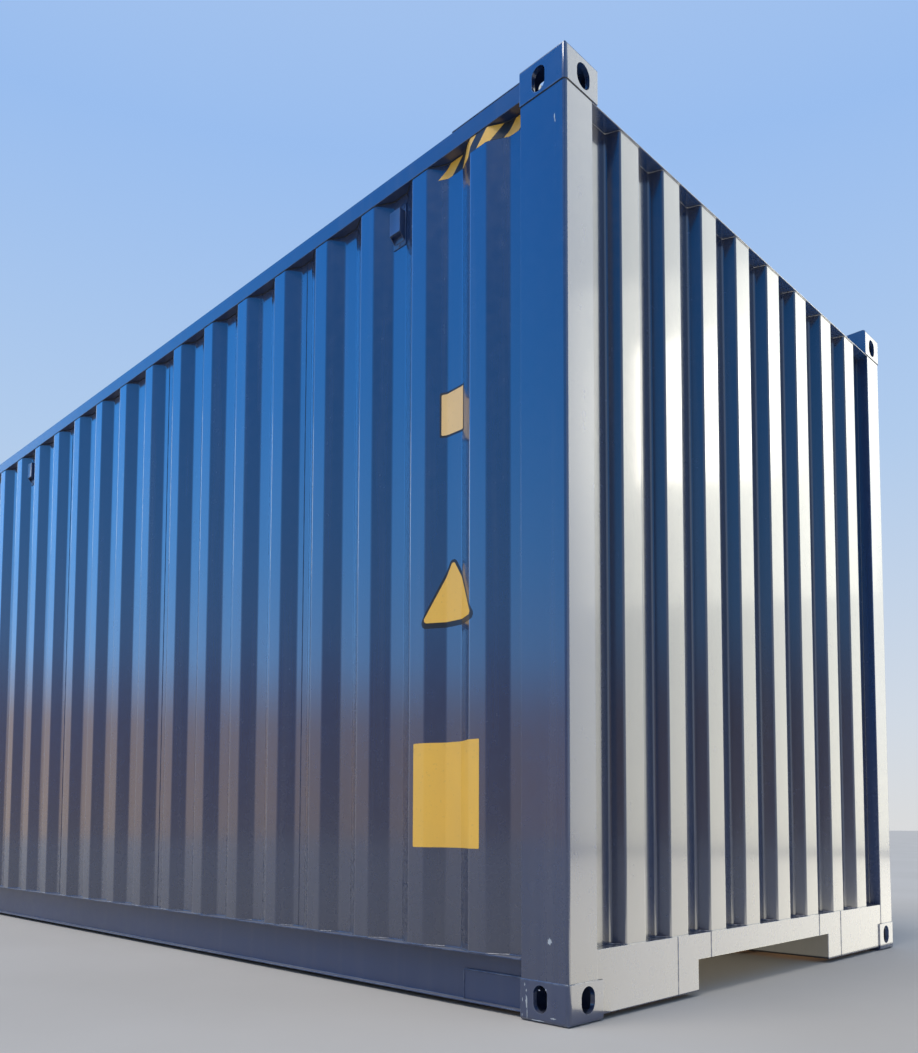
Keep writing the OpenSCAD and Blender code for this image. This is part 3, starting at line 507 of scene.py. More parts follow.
# Rails: channels below, square tubes above, a stiffening plate at each channel's end. Painted
# with the posts and welded to the castings.
rail_steel = painted("rail_paint", coat=0.25, gloss=0.38, film=0.08, film_height=0.9, dust=0.5,
                     wear=0.6, waves=0.0006)
high_rail_steel = painted("high_rail_paint", coat=0.6, gloss=0.32, film=0.0, dust=0.5, wear=0.6,
                          waves=0.0006)
dress(["bottom_rail_right", "bottom_rail_left", "rail_end_plates"], rail_steel, 0.0012)
dress(["top_rail_right", "top_rail_left"], high_rail_steel, 0.0012)
web_y, web_low_z, web_high_z = 1.1725, 0.022, 0.112
flange_inner_y, flange_lip_y, flange_z = 1.172, 1.215, 0.1745
tube_inner_y, tube_outer_y, tube_low_z, tube_high_z = 1.157, 1.2155, 2.800, 2.859
plate_far_x, plate_near_x, plate_y, plate_low_z, plate_high_z = 5.650, 5.916, 1.1775, 0.0225, 0.1125
rail_paths = []
for side in hands.values():
    for end in ends.values():
        x, far, near = end * post_edge_x, end * plate_far_x, end * plate_near_x
        for path, step in (
                ([(x, side * web_y, web_low_z), (x, side * web_y, web_high_z)], bead_step),
                ([(x, side * flange_inner_y, flange_z), (x, side * flange_lip_y, flange_z)],
                 bead_step),
                ([(x, side * tube_inner_y, tube_low_z), (x, side * tube_outer_y, tube_low_z),
                  (x, side * tube_outer_y, tube_high_z)], bead_step),
                ([(far, side * plate_y, plate_low_z), (far, side * plate_y, plate_high_z),
                  (near, side * plate_y, plate_high_z)], 0.02)):
            rail_paths.append(in_steps(path, step))
bead("rail_welds", rail_paths, 0.0026, rail_steel)


# Sills and headers: box sections across both ends, the front sill cut away for the tunnel.
# Welded between the castings and painted with the frame.
dress(["front_sill", "front_header", "header_plates", "door_sill", "door_header"],
      frame_steel, 0.0015)
sill_face_x, sill_top_z, sill_end_y, sill_low_z = 6.091, 0.205, 1.057, 0.02
cheek_y, cheek_low_z, mouth_y, mouth_top_z = 0.640, 0.017, 0.430, 0.120
sill_paths = []
for side in hands.values():
    for x, y, low, high in ((sill_face_x, sill_end_y, sill_low_z, casting_top_z),
                            (sill_face_x, cheek_y, cheek_low_z, sill_top_z),
                            (sill_face_x, mouth_y, mouth_top_z, sill_top_z),
                            (rear_post_x, sill_end_y, sill_low_z, casting_top_z)):
        sill_paths.append(in_steps([(x, side * y, low), (x, side * y, high)], bead_step))
bead("sill_welds", sill_paths, 0.0022, frame_steel)


# Base: folded cross members, the gooseneck tunnel and its outriggers under a floor of marine
# plywood. The steel has a dull black wax coat, the boards show their dark oiled edges.
base_coat = painted("base_coat", coat=0.0, paint=(0.020, 0.022, 0.026, 1.0), gloss=0.62, film=0.5,
                    film_height=0.5, wear=0.35, wear_width=0.003, grain=0.0004,
                    rubbed=(0.16, 0.09, 0.05, 1.0))
dress(["cross_members", "tunnel_plate", "tunnel_bolster", "tunnel_outriggers_right",
       "tunnel_outriggers_left"], base_coat, 0.0010)


def boarded():
    """Oiled hardwood plywood: grain along the boards, dark joints between them."""
    material = bpy.data.materials.new("plywood")
    material.use_nodes = True
    tree = material.node_tree
    grain = patches(tree, (0.6, 14.0, 14.0), 6.0, 6.0, 0.25, 0.75)
    blotch = patches(tree, (1.0, 1.0, 1.0), 1.4, 3.0, 0.3, 0.7)
    place = node(tree, "SeparateXYZ", {"Vector": node(tree, "TexCoord").outputs["Object"]})
    along = calc(tree, "PINGPONG", place.outputs["X"], 1.22)
    across = calc(tree, "PINGPONG", place.outputs["Y"], 0.582)
    joint = calc(tree, "MINIMUM", spread(tree, along, 0.0, 0.006), spread(tree, across, 0.0, 0.006))
    wood = ramp(tree, grain, [(0.0, (0.10, 0.055, 0.03)), (0.6, (0.24, 0.13, 0.07)),
                              (1.0, (0.36, 0.21, 0.11))])
    stained = blend(tree, calc(tree, "MULTIPLY", blotch, 0.4), wood, (0.07, 0.045, 0.03, 1.0))
    shader = tree.nodes["Principled BSDF"]
    tree.links.new(blend(tree, joint, (0.02, 0.015, 0.01, 1.0), stained), shader.inputs["Base Color"])
    tree.links.new(spread(tree, grain, 0.0, 1.0, 0.75, 0.5), shader.inputs["Roughness"])
    relief = calc(tree, "MULTIPLY_ADD", grain, 0.0004, calc(tree, "MULTIPLY", joint, 0.002))
    bump = node(tree, "Bump", {"Height": relief, "Distance": 1.0})
    tree.links.new(bump.outputs["Normal"], shader.inputs["Normal"])
    return material


dress(["floor"], boarded(), 0.0010)


# Walls: thin sheet pressed into upright ridges with rolled bends, welded along the rails and
# posts, and joined every fourth ridge by a butt seam in the middle of a hollow.
# The side sheets carry the thickest film: road grime and, low on the wall, a painted reflection of the
# dark ground.
sheet_steel = painted("sheet_paint", gloss=0.22, film=0.55, dust=0.4, streaks=0.05, wear=0.0,
                      waves=0.0016, grain=0.000001)
ridge_y, hollow_y, wall_foot_z, wall_head_z = 1.214, 1.178, 0.174, 2.799
first_ridge_x, ridge_pitch, ridge_count = 5.775, 0.278, 42
ridge_flat, ridge_slope, side_sheet, side_bend = 0.072, 0.068, 0.0016, 0.022


def wall_line(side, z, proud=0.0):
    """The outside line of a side wall at one height."""
    line = [(post_edge_x, side * (hollow_y + proud), z)]
    for k in range(ridge_count):
        x = first_ridge_x - k * ridge_pitch
        line += [(x + ridge_slope, side * (hollow_y + proud), z), (x, side * (ridge_y + proud), z),
                 (x - ridge_flat, side * (ridge_y + proud), z),
                 (x - ridge_flat - ridge_slope, side * (hollow_y + proud), z)]
    return line + [(-post_edge_x, side * (hollow_y + proud), z)]


def rolled(line, bend):
    """A folded line with its folds rolled to a radius."""
    line = [Vector(point) for point in line]
    points = [line[0]]
    for back, fold, on in zip(line, line[1:], line[2:]):
        to_back, to_on = (back - fold).normalized(), (on - fold).normalized()
        cut = bend * math.tan((math.pi - to_back.angle(to_on)) / 2)
        start, stop = fold + to_back * cut, fold + to_on * cut
        for share in (0.0, 1 / 3, 2 / 3, 1.0):
            points.append(start.lerp(fold, share).lerp(fold.lerp(stop, share), share))
    return points + [line[-1]]


def pressed_sheet(line, bend, run, thickness, outward):
    """A sheet pressed to a folded line, run out along its ridges and thickened inwards."""
    points = rolled(line, bend)
    last = len(points) - 1
    bpy.ops.object.select_all(action="DESELECT")
    bpy.ops.mesh.primitive_grid_add(x_subdivisions=last, y_subdivisions=1, size=1.0)
    sheet = bpy.context.object
    for vertex in sheet.data.vertices:
        place = points[round((vertex.co.x + 0.5) * last)]
        vertex.co = place + Vector(run) * (vertex.co.y + 0.5)
    if sum(face.normal.dot(Vector(outward)) for face in sheet.data.polygons) < 0:
        sheet.data.flip_normals()
    solid = sheet.modifiers.new("sheet", "SOLIDIFY")
    solid.thickness = thickness
    solid.offset = -1.0
    solid.use_even_offset = True
    bpy.ops.object.modifier_apply(modifier=solid.name)
    even_out(sheet)
    return sheet


for name, side in hands.items():
    wall = pressed_sheet(wall_line(side, wall_foot_z), side_bend, (0, 0, wall_head_z - wall_foot_z),
                         side_sheet, (0, side, 0))
    finish(wall, f"side_sheets_{name}", sheet_steel, (f"side_wall_{name}",))
half_hollow, seam_every, seam_end, edge_step, seam_step = 0.035, 4, 0.003, 0.03, 0.04
for name, side in hands.items():
    foot, head = (in_steps(rolled(wall_line(side, z, 0.0004), side_bend), edge_step)
                  for z in (wall_foot_z + 0.0012, wall_head_z - 0.0012))
    # The head weld under the top rail and the joints at the posts get near-black beads: painted shade
    # in the rail's shadow and the grooves at the posts.
    seams, joints = [], [head]
    for k in range(seam_every, ridge_count - 1, seam_every):
        x = first_ridge_x - k * ridge_pitch + ridge_slope + half_hollow
        seams.append(in_steps([(x, side * hollow_y, z)
                               for z in (wall_foot_z + seam_end, wall_head_z - seam_end)], seam_step))
    for end in ends.values():
        joints.append(in_steps([(end * (post_edge_x - 0.001), side * hollow_y, z)
                                for z in (wall_foot_z + seam_end, wall_head_z - seam_end)], seam_step))
    bead(f"wall_welds_{name}", [foot], 0.0024, sheet_steel)
    bead(f"wall_joints_{name}", joints, 0.0020, joint_shade_paint)
    bead(f"wall_seams_{name}", seams, 0.0020, sheet_steel)


front_ridge_x, front_hollow_x, front_foot_z, front_head_z = 6.089, 6.0434, 0.205, 2.774
front_half, front_pitch, front_ridges, front_flat, front_slope = 1.080, 0.250, 8, 0.110, 0.018
front_sheet, front_bend = 0.002, 0.012
# The front sheets get the side paint at half its brightness: painted shade for the shadowed hollows of
# the front wall.
front_shaded_steel = painted("front_sheet_shaded_paint", paint=(0.003, 0.013, 0.050, 1.0), gloss=0.22,
                      film=0.05, dust=0.3, wear=0.0, waves=0.0016, grain=0.000001)


def front_line(z, proud=0.0):
    """The outside line of the front wall at one height."""
    line = [(front_hollow_x + proud, -front_half, z)]
    for k in range(front_ridges):
        y = (k - (front_ridges - 1) / 2) * front_pitch
        line += [(front_hollow_x + proud, y - front_flat / 2 - front_slope, z),
                 (front_ridge_x + proud, y - front_flat / 2, z),
                 (front_ridge_x + proud, y + front_flat / 2, z),
                 (front_hollow_x + proud, y + front_flat / 2 + front_slope, z)]
    return line + [(front_hollow_x + proud, front_half, z)]


finish(pressed_sheet(front_line(front_foot_z), front_bend, (0, 0, front_head_z - front_foot_z),
                     front_sheet, (1, 0, 0)),
       "front_sheets", front_shaded_steel, ("front_wall",))
front_paths = [in_steps(rolled(front_line(front_foot_z + 0.001, -0.0002), front_bend), 0.02),
               in_steps(rolled(front_line(front_head_z - 0.001, -0.0002), front_bend), 0.02)]
for side in hands.values():
    front_paths.append(in_steps([(front_hollow_x, side * front_half, front_foot_z),
                                 (front_hollow_x, side * front_half, front_head_z)], seam_step))
bead("front_wall_welds", front_paths, 0.0024, front_shaded_steel)


# Roof: pressed sheets with cross ribs, welded to each other and to the rails, with thicker
# plates at the corners where spreaders land. Dust lies on it.
roof_sheet = painted("roof_paint", gloss=0.36, film=0.0, dust=0.55, wear=0.3, waves=0.0016)
dress(["roof"], roof_sheet, 0.004, 3)
dress(["roof_corner_plates"], roof_sheet, 0.0010)
roof_z, roof_half_y, roof_seam_x, rib_pitch, first_rib_x = 2.861, 1.195, 5.617, 0.209, -5.8065
rib_count, ribs_a_sheet = 55, 5
roof_paths = []
for side in hands.values():
    roof_paths.append(in_steps([(x, side * roof_half_y, roof_z - 0.001)
                                for x in (-roof_seam_x, roof_seam_x)], 0.06))
for k in range(ribs_a_sheet, rib_count, ribs_a_sheet):
    x = first_rib_x + (k - 0.5) * rib_pitch
    roof_paths.append(in_steps([(x, -roof_half_y, roof_z), (x, roof_half_y, roof_z)], 0.05))
bead("roof_welds", roof_paths, 0.0018, roof_sheet)


# Corner bands: black and yellow slanted stripes that mark the container's extra height. They
# are films stuck over the folds of the sheet under each top casting.
under_post, film_end = 0.072, 0.5


def unrolled(side, end):
    """The outside line of a wall from one of its ends, with the length along the sheet."""
    line = rolled(wall_line(side, 0.0), side_bend)
    line = line if end > 0 else line[::-1]
    measured = [(-under_post - 0.003, line[0])]
    for back, on in zip(line, line[1:]):
        measured.append((measured[-1][0] + (on - back).length, on))
    return [pair for pair in measured if pair[0] < 0.6]


def film(side, end, outline, reach=film_end):
    """A flat outline of (length along the sheet, height) points, laid over the folds."""
    bpy.ops.object.select_all(action="DESELECT")
    bpy.ops.mesh.primitive_circle_add(vertices=len(outline), fill_type="NGON")
    sheet = bpy.context.object
    for vertex, (along, z) in zip(sheet.data.vertices, outline):
        vertex.co = (along, 0.0, z)
    measured = unrolled(side, end)
    bpy.ops.object.mode_set(mode="EDIT")
    for along, way in ((-under_post, -1.0), (reach, 1.0)):
        bpy.ops.mesh.select_all(action="SELECT")
        bpy.ops.mesh.bisect(plane_co=(along, 0, 0), plane_no=(way, 0, 0), clear_outer=True)
    for along, _ in measured:
        bpy.ops.mesh.select_all(action="SELECT")
        bpy.ops.mesh.bisect(plane_co=(along, 0, 0), plane_no=(1, 0, 0))
    bpy.ops.object.mode_set(mode="OBJECT")
    for vertex in sheet.data.vertices:
        for (before, start), (after, stop) in zip(measured, measured[1:]):
            if vertex.co.x <= after:
                break
        place = start.lerp(stop, (vertex.co.x - before) / (after - before))
        vertex.co = (place.x, place.y, vertex.co.z)
    if sum(face.normal.y * side for face in sheet.data.polygons) < 0:
        sheet.data.flip_normals()
    return sheet


def stuck(parts, name, thickness, material):
    """Films joined, thickened outwards from the sheet they lie on, and finished."""
    pick(*parts)
    if len(parts) > 1:
        bpy.ops.object.join()
    piece = bpy.context.object
    solid = piece.modifiers.new("film", "SOLIDIFY")
    solid.thickness = thickness
    solid.offset = 1.0
    solid.use_even_offset = True
    bpy.ops.object.modifier_apply(modifier=solid.name)
    bpy.ops.object.shade_smooth_by_angle(angle=smooth_up_to)
    return finish(piece, name, material)


def marking(name, colour, wear=0.12):
    """Marking film: flat colour that fades in patches, with specks of wear."""
    material = bpy.data.materials.new(name)
    material.use_nodes = True
    tree = material.node_tree
    fade = patches(tree, (1.0, 1.0, 0.6), 7.0, 4.0, 0.25, 0.75)
    specks = patches(tree, (1.0, 1.0, 1.0), 90.0, 4.0, 0.63, 0.70)
    dull = tuple(0.88 * part + 0.01 for part in colour[:3]) + (1.0,)
    shade = blend(tree, fade, dull, colour)
    worn = blend(tree, calc(tree, "MULTIPLY", specks, wear), shade, (0.05, 0.06, 0.08, 1.0))
    shader = tree.nodes["Principled BSDF"]
    tree.links.new(worn, shader.inputs["Base Color"])
    tree.links.new(spread(tree, fade, 0.0, 1.0, 0.5, 0.38), shader.inputs["Roughness"])
    peel = patches(tree, (1.0, 1.0, 1.0), 160.0, 3.0, 0.0, 1.0)
    bump = node(tree, "Bump", {"Height": calc(tree, "MULTIPLY", peel, 0.00008), "Distance": 1.0})
    tree.links.new(bump.outputs["Normal"], shader.inputs["Normal"])
    return material


mark_yellow = marking("marking_yellow", (0.86, 0.49, 0.060, 1.0))
mark_black = marking("marking_black", (0.012, 0.013, 0.016, 1.0))
band_foot_z, band_head_z, band_reach = 2.747, wall_head_z - 0.004, 0.332
first_stripe, stripe_period, yellow_width = -0.0375, 0.1035, 0.057
for name, side in hands.items():
    for corner, end in ends.items():
        for shade, material, start, width in (
                ("yellow", mark_yellow, first_stripe, yellow_width),
                ("black", mark_black, first_stripe + yellow_width, stripe_period - yellow_width)):
            parts = []
            for k in range(-1, 4 if shade == "yellow" else 3):
                near = start + k * stripe_period
                slant = band_head_z - band_foot_z
                if near + width > -0.06:
                    parts.append(film(side, end, [
                        (near, band_foot_z), (near + width, band_foot_z),
                        (near + width - slant, band_head_z), (near - slant, band_head_z),
                    ], band_reach))
            stuck(parts, f"corner_band_{shade}_{corner}_{name}", 0.0004, material)


# Side plates: a square, a rounded triangle and a tall rectangle of yellow film, left blank,
# stuck over the folds of the right wall near the blind end.
def rounded(corners, radius):
    """A closed outline with round corners."""
    outline = []
    corners = [Vector(corner) for corner in corners]
    for k, corner in enumerate(corners):
        back = (corners[k - 1] - corner).normalized()
        on = (corners[(k + 1) % len(corners)] - corner).normalized()
        half = back.angle(on) / 2
        centre = corner + (back + on).normalized() * radius / math.sin(half)
        start, stop = (corner + way * radius / math.tan(half) - centre for way in (back, on))
        for step in range(6):
            outline.append(tuple(centre + start.lerp(stop, step / 5).normalized() * radius))
    return outline


mark_pale = marking("marking_pale_yellow", (0.86, 0.56, 0.21, 1.0))
for name, corners, radius, thickness, material in (
        ("square_border", [(0.2110, 1.850), (0.3215, 1.850), (0.3215, 2.003), (0.2110, 2.010)],
         0.006, 0.0004, mark_black),
        ("square_plate", [(0.2170, 1.857), (0.3150, 1.857), (0.3150, 1.996), (0.2170, 2.003)],
         0.004, 0.0008, mark_pale),
        ("triangle_border", [(0.1185, 1.210), (0.3985, 1.210), (0.2640, 1.450)],
         0.018, 0.0004, mark_black),
        ("triangle_plate", [(0.1400, 1.228), (0.3810, 1.228), (0.2640, 1.431)],
         0.010, 0.0008, mark_yellow),
        ("tall_plate", [(0.1050, 0.491), (0.4210, 0.491), (0.4210, 0.831), (0.1050, 0.831)],
         0.004, 0.0006, mark_yellow)):
    stuck([film(-1.0, 1.0, rounded(corners, radius))], name, thickness, material)


# Vents: moulded hoods in the hollows under the top rails, open below, each held by screws
# through its flange. They let the cargo breathe.
vent_paint = painted("vent_plastic", coat=0.4, gloss=0.42, film=0.0, dust=0.3, wear=0.25,
                     wear_width=0.002, grain=0.0001)
vent_xs, flange_low_z, flange_high_z = (5.322, 1.986, -1.906, -5.242), 2.612, 2.764
flange_half_x, flange_y, hood_y = 0.032, 0.003, 0.027
hood_half_x, hood_low_z, hood_high_z = 0.027, 2.628, 2.738
slat_half_x, slat_y, slat_thickness, slat_zs = 0.0235, 0.0235, 0.0022, (2.650, 2.674, 2.698)
screw_radius, screw_places = 0.0055, ((-0.022, 2.752), (0.022, 2.752), (0.0, 2.620))


def box_between(low, high):
    """A box primitive between two corners."""
    low, high = Vector(low), Vector(high)
    bpy.ops.object.select_all(action="DESELECT")
    bpy.ops.mesh.primitive_cube_add(size=1.0, location=(low + high) / 2, scale=high - low)
    bpy.ops.object.transform_apply(location=True, rotation=True, scale=True)
    return bpy.context.object


def soften(piece, width, segments=3, angle=30.0):
    """Rounds the edges of a made piece for good."""
    pick(piece)
    edges = piece.modifiers.new("soft_edges", "BEVEL")
    edges.width = width
    edges.segments = segments
    edges.limit_method = "ANGLE"
    edges.angle_limit = math.radians(angle)
    bpy.ops.object.modifier_apply(modifier=edges.name)
    bpy.ops.object.shade_smooth_by_angle(angle=smooth_up_to)
    return piece


def faces_where(piece, test):
    """Selects the faces of a mesh that pass a test, ready for an edit mode operator."""
    bpy.ops.mesh.select_mode(type="FACE")
    work = bmesh.from_edit_mesh(piece.data)
    for face in work.faces:
        face.select_set(bool(test(face)))
    bmesh.update_edit_mesh(piece.data)


def vent_model():
    """One hood, facing -Y, with its flange against y = 0 and x = 0 in its middle."""
    flange = box_between((-flange_half_x, -flange_y, flange_low_z), (flange_half_x, 0, flange_high_z))
    soften(flange, 0.0011, 2)
    hood = box_between((-hood_half_x, -hood_y, hood_low_z), (hood_half_x, -0.002, hood_high_z))
    bpy.ops.object.mode_set(mode="EDIT")
    faces_where(hood, lambda face: face.normal.y < -0.9)
    bpy.ops.mesh.inset(thickness=0.004)
    bpy.ops.transform.translate(value=(0, 0.0012, 0))
    faces_where(hood, lambda face: face.normal.z < -0.9)
    bpy.ops.mesh.inset(thickness=0.003)
    bpy.ops.mesh.extrude_region_move(TRANSFORM_OT_translate={"value": (0, 0, 0.085)})
    bpy.ops.mesh.select_all(action="DESELECT")
    bpy.ops.mesh.select_mode(type="VERT")
    work = bmesh.from_edit_mesh(hood.data)
    for vertex in work.verts:
        if vertex.co.y < -0.020 and vertex.co.z < hood_low_z + 0.02:
            vertex.co.z += 0.024
    bmesh.update_edit_mesh(hood.data)
    bpy.ops.object.mode_set(mode="OBJECT")
    soften(hood, 0.0022, 3)
    parts = [flange, hood]
    for z in slat_zs:
        slat = box_between((-slat_half_x, -slat_y, z), (slat_half_x, -flange_y, z + slat_thickness))
        parts.append(soften(slat, 0.0006, 1))
    for x, z in screw_places:
        bpy.ops.object.select_all(action="DESELECT")
        bpy.ops.mesh.primitive_uv_sphere_add(segments=14, ring_count=8, radius=screw_radius,
                                             location=(x, -flange_y, z), scale=(1.0, 0.55, 1.0))
        bpy.ops.object.transform_apply(location=True, rotation=True, scale=True)
        screw = bpy.context.object
        bpy.ops.object.mode_set(mode="EDIT")
        faces_where(screw, lambda face: face.calc_center_median().y < -flange_y - 0.0024)
        bpy.ops.mesh.inset(thickness=0.0008)
        bpy.ops.transform.translate(value=(0, 0.0010, 0))
        bpy.ops.object.mode_set(mode="OBJECT")
        bpy.ops.object.shade_smooth()
        parts.append(screw)
    pick(*parts)
    bpy.ops.object.join()
    return bpy.context.object


def copies(model, places):
    """Copies of one piece moved to their places, joined; the piece itself goes."""
    made = []
    for place in places:
        twin = bpy.data.objects.new(model.name, model.data.copy())
        scene.collection.objects.link(twin)
        twin.data.transform(place)
        if place.determinant() < 0:
            twin.data.flip_normals()
        made.append(twin)
    bpy.data.objects.remove(model)
    pick(*made)
    bpy.ops.object.join()
    return bpy.context.object


vent_places = [Matrix.Translation((x, side * hollow_y, 0)) @ Matrix.Diagonal((1, -side, 1, 1))
               for side in hands.values() for x in vent_xs]
finish(copies(vent_model(), vent_places), "vent_covers", vent_paint, ("vents",))


# Marks of use near the camera's corner: paint knocked off the post and casting down to the pale
# primer, and spatter left beside the welds at the post's foot.
def knocks(name, marks, thickness, material):
    """Thin irregular patches on flat faces, from (centre, one half width, other half width)."""
    parts = []
    for k, (centre, wide, tall) in enumerate(marks):
        bpy.ops.object.select_all(action="DESELECT")
        bpy.ops.mesh.primitive_circle_add(vertices=13, fill_type="NGON")
        patch = bpy.context.object
        for step, vertex in enumerate(patch.data.vertices):
            turn = math.tau * step / 13
            reach = 1.0 + 0.28 * math.sin(2.7 * step + 1.3 * k) + 0.17 * math.sin(5.9 * step + k)
            vertex.co = (Vector(centre) + Vector(wide) * reach * math.cos(turn)
                         + Vector(tall) * reach * math.sin(turn))
        outward = Vector(centre) * Vector((0.195, 1.0, 0.0))
        if patch.data.polygons[0].normal.dot(outward) < 0:
            patch.data.flip_normals()
        parts.append(patch)
    pick(*parts)
    bpy.ops.object.join()
    piece = bpy.context.object
    solid = piece.modifiers.new("layer", "SOLIDIFY")
    solid.thickness = thickness
    solid.offset = 1.0
    bpy.ops.object.modifier_apply(modifier=solid.name)
    return finish(piece, name, material)


primer = painted("bare_primer", coat=0.0, paint=(0.46, 0.50, 0.54, 1.0), gloss=0.6, film=0.3,
                 film_height=0.5, wear=0.0, grain=0.0002)
post_y, cast_y = -1.2161, -1.2189
knocks("paint_knocks", [
    ((6.025, post_y, 0.235), (0.007, 0, 0.002), (-0.001, 0, 0.009)),
    ((6.053, post_y, 2.676), (0.0015, 0, 0), (0.0005, 0, 0.009)),
    ((6.055, post_y, 2.662), (0.0012, 0, 0), (-0.001, 0, 0.006)),
    ((5.942, cast_y, 0.053), (0.0030, 0, 0.0008), (-0.001, 0, 0.018)),
    ((5.944, cast_y, 0.022), (0.0013, 0, 0), (0, 0, 0.015)),
    ((5.941, cast_y, 0.088), (0.0016, 0, 0), (0, 0, 0.004)),
    ((5.935, cast_y, 0.105), (0.0012, 0, 0), (0, 0, 0.005)),
    ((5.926, cast_y, 0.060), (0.0012, 0, 0), (0, 0, 0.006)),
    ((5.925, cast_y, 0.016), (0.0014, 0, 0), (0, 0, 0.004)),
    ((6.040, cast_y, 0.020), (0.010, 0, 0), (0, 0, 0.0022)),
    ((5.985, cast_y, 0.0075), (0.022, 0, 0), (0, 0, 0.0016)),
    ((5.990, cast_y, 0.094), (0.0030, 0, 0), (0, 0, 0.0018)),
    ((6.014, cast_y, 0.098), (0.0022, 0, 0), (0, 0, 0.0024)),
], 0.00016, primer)


# Doors: two leaves of folded channels and pressed panels, hung on lugs at the rear posts. The
# gear is forged and painted steel, fixed with rivets, and black rubber seals the gaps.
leaf_steel = painted("leaf_paint", gloss=0.24, film=0.15, dust=0.4, wear=0.5,
                     waves=0.0006)
dress(["door_frame_right", "door_frame_left"], leaf_steel, 0.0012)
door_face_x, trough_x, panel_low_z, panel_high_z = -6.050, -6.014, 0.325, 2.594
trough_count, trough_step, trough_flat, trough_slope, trough_floor = 5, 0.4128, 0.2048, 0.068, 0.072
panel_near_y, panel_far_y, door_sheet, door_bend = 0.1085, 1.062, 0.002, 0.020
leaves = []
for side in hands.values():
    line = [(door_face_x, side * panel_near_y, panel_low_z)]
    for k in range(trough_count):
        z = panel_low_z + trough_flat + k * trough_step
        line += [(door_face_x, side * panel_near_y, z),
                 (trough_x, side * panel_near_y, z + trough_slope),
                 (trough_x, side * panel_near_y, z + trough_slope + trough_floor),
                 (door_face_x, side * panel_near_y, z + 2 * trough_slope + trough_floor)]
    line.append((door_face_x, side * panel_near_y, panel_high_z))
    leaves.append(pressed_sheet(line, door_bend, (0, side * (panel_far_y - panel_near_y), 0),
                                door_sheet, (-1, 0, 0)))
pick(*leaves)
bpy.ops.object.join()
door_steel = painted("door_paint", gloss=0.22, film=0.15, dust=0.3, streaks=0.03,
                     wear=0.0, waves=0.0012)
finish(bpy.context.object, "door_skins", door_steel, ("door_panels",))
door_paths = []
for side in hands.values():
    corners = [(door_face_x, side * y, z) for y, z in (
        (panel_near_y, panel_low_z), (panel_far_y, panel_low_z), (panel_far_y, panel_high_z),
        (panel_near_y, panel_high_z), (panel_near_y, panel_low_z))]
    door_paths += [in_steps(corners[0:2], 0.03), in_steps(corners[2:4], 0.03)]
bead("door_welds", door_paths, 0.0018, door_steel)
gear_steel = painted("gear_paint", coat=0.3, gloss=0.36, film=0.2, dust=0.4, wear=1.0,
                     wear_width=0.005, grain=0.00015)
dress(["cam_keepers", "bar_brackets", "door_handles", "handle_catches", "hinge_straps",
       "hinge_lugs"], gear_steel, 0.0018)
dress(["lock_bar_right_outer", "lock_bar_right_inner", "lock_bar_left_inner",
       "lock_bar_left_outer"], gear_steel, 0.0008)
seal_rubber = painted("seal_rubber", coat=0.0, paint=(0.018, 0.018, 0.019, 1.0), gloss=0.6,
                      film=0.35, dust=0.4, wear=0.0, grain=0.0003)
dress(["door_seals"], seal_rubber, 0.0020)


def solid_boxes(name):
    """The lowest and highest corner of each loose solid of a CAD node, in a fixed order."""
    work = bmesh.new()
    work.from_mesh(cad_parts[name].data)
    bmesh.ops.remove_doubles(work, verts=work.verts, dist=merge_distance)
    left, boxes = set(work.verts), []
    while left:
        grown, edge = set(), [next(iter(left))]
        while edge:
            vertex = edge.pop()
            if vertex not in grown:
                grown.add(vertex)
                edge += [link.other_vert(vertex) for link in vertex.link_edges]
        left -= grown
        boxes.append(tuple(Vector(way(vertex.co[axis] for vertex in grown) for axis in range(3))
                           for way in (min, max)))
    work.free()
    return sorted(boxes, key=lambda pair: [round(part, 4) for part in (*pair[0], *pair[1])])


def rivet_model():
    """One domed rivet head, facing -X, on the plane x = 0."""
    bpy.ops.object.select_all(action="DESELECT")
    bpy.ops.mesh.primitive_uv_sphere_add(segments=16, ring_count=8, radius=0.009,
                                         scale=(0.45, 1.0, 1.0))
    bpy.ops.object.transform_apply(location=True, rotation=True, scale=True)
    bpy.ops.object.mode_set(mode="EDIT")
    bpy.ops.mesh.select_all(action="SELECT")
    bpy.ops.mesh.bisect(plane_co=(0.001, 0, 0), plane_no=(1, 0, 0), clear_outer=True, use_fill=True)
    bpy.ops.object.mode_set(mode="OBJECT")
    bpy.ops.object.shade_smooth_by_angle(angle=smooth_up_to)
    return bpy.context.object


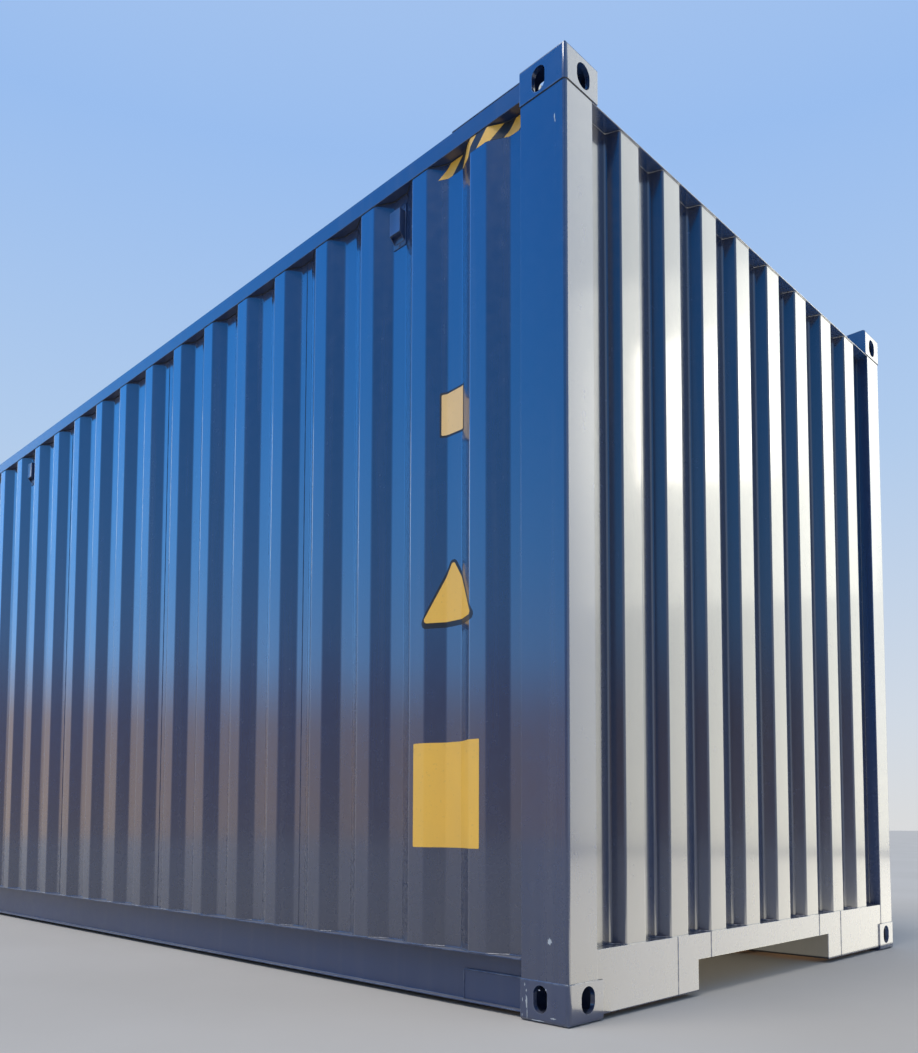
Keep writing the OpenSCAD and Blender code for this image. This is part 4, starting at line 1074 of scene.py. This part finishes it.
rivet_inset, strap_face_x, strap_rivets = 0.011, -6.058, (0.020, 0.060, 0.100)
rivet_places = []
for low, high in solid_boxes("bar_brackets"):
    if high.y - low.y > 0.07:
        for y in (low.y + rivet_inset, high.y - rivet_inset):
            rivet_places.append(Matrix.Translation((low.x, y, (low.z + high.z) / 2)))
for low, high in solid_boxes("hinge_straps"):
    side = 1.0 if low.y > 0 else -1.0
    near = low.y if side > 0 else high.y
    for reach in strap_rivets:
        rivet_places.append(Matrix.Translation((strap_face_x, near + side * reach,
                                                (low.z + high.z) / 2)))
finish(copies(rivet_model(), rivet_places), "door_rivets", gear_steel)

bar_x, bar_radius = -6.072, 0.017
inner_bar_y, outer_bar_y, low_handle_z, high_handle_z = 0.230, 0.800, 1.191, 1.286
lug_half, lug_reach, lug_thickness, pin_y = 0.013, 0.036, 0.006, 0.028


def hub_model():
    """The forged hub that grips a lock bar: a collar with a cleft lug and its pin, facing +Y."""
    bpy.ops.object.select_all(action="DESELECT")
    bpy.ops.mesh.primitive_cylinder_add(vertices=32, radius=bar_radius + 0.005, depth=0.046)
    collar = soften(bpy.context.object, 0.003, 3, 50.0)
    parts = [collar]
    for z in (-0.012, 0.012):
        lug = box_between((-lug_half, 0.0, z - lug_thickness / 2),
                          (lug_half, lug_reach, z + lug_thickness / 2))
        parts.append(soften(lug, 0.0012, 2))
    bpy.ops.object.select_all(action="DESELECT")
    bpy.ops.mesh.primitive_cylinder_add(vertices=20, radius=0.006, depth=0.040,
                                        location=(0.0, pin_y, 0.0))
    parts.append(soften(bpy.context.object, 0.0018, 2, 50.0))
    pick(*parts)
    bpy.ops.object.join()
    bpy.ops.object.transform_apply(location=True, rotation=True, scale=True)
    return bpy.context.object


hub_places = [Matrix.Translation((bar_x, side * y, z)) @ Matrix.Diagonal((1, side * way, 1, 1))
              for side in hands.values()
              for y, z, way in ((inner_bar_y, low_handle_z, 1), (outer_bar_y, high_handle_z, -1))]
finish(copies(hub_model(), hub_places), "handle_hubs", gear_steel)
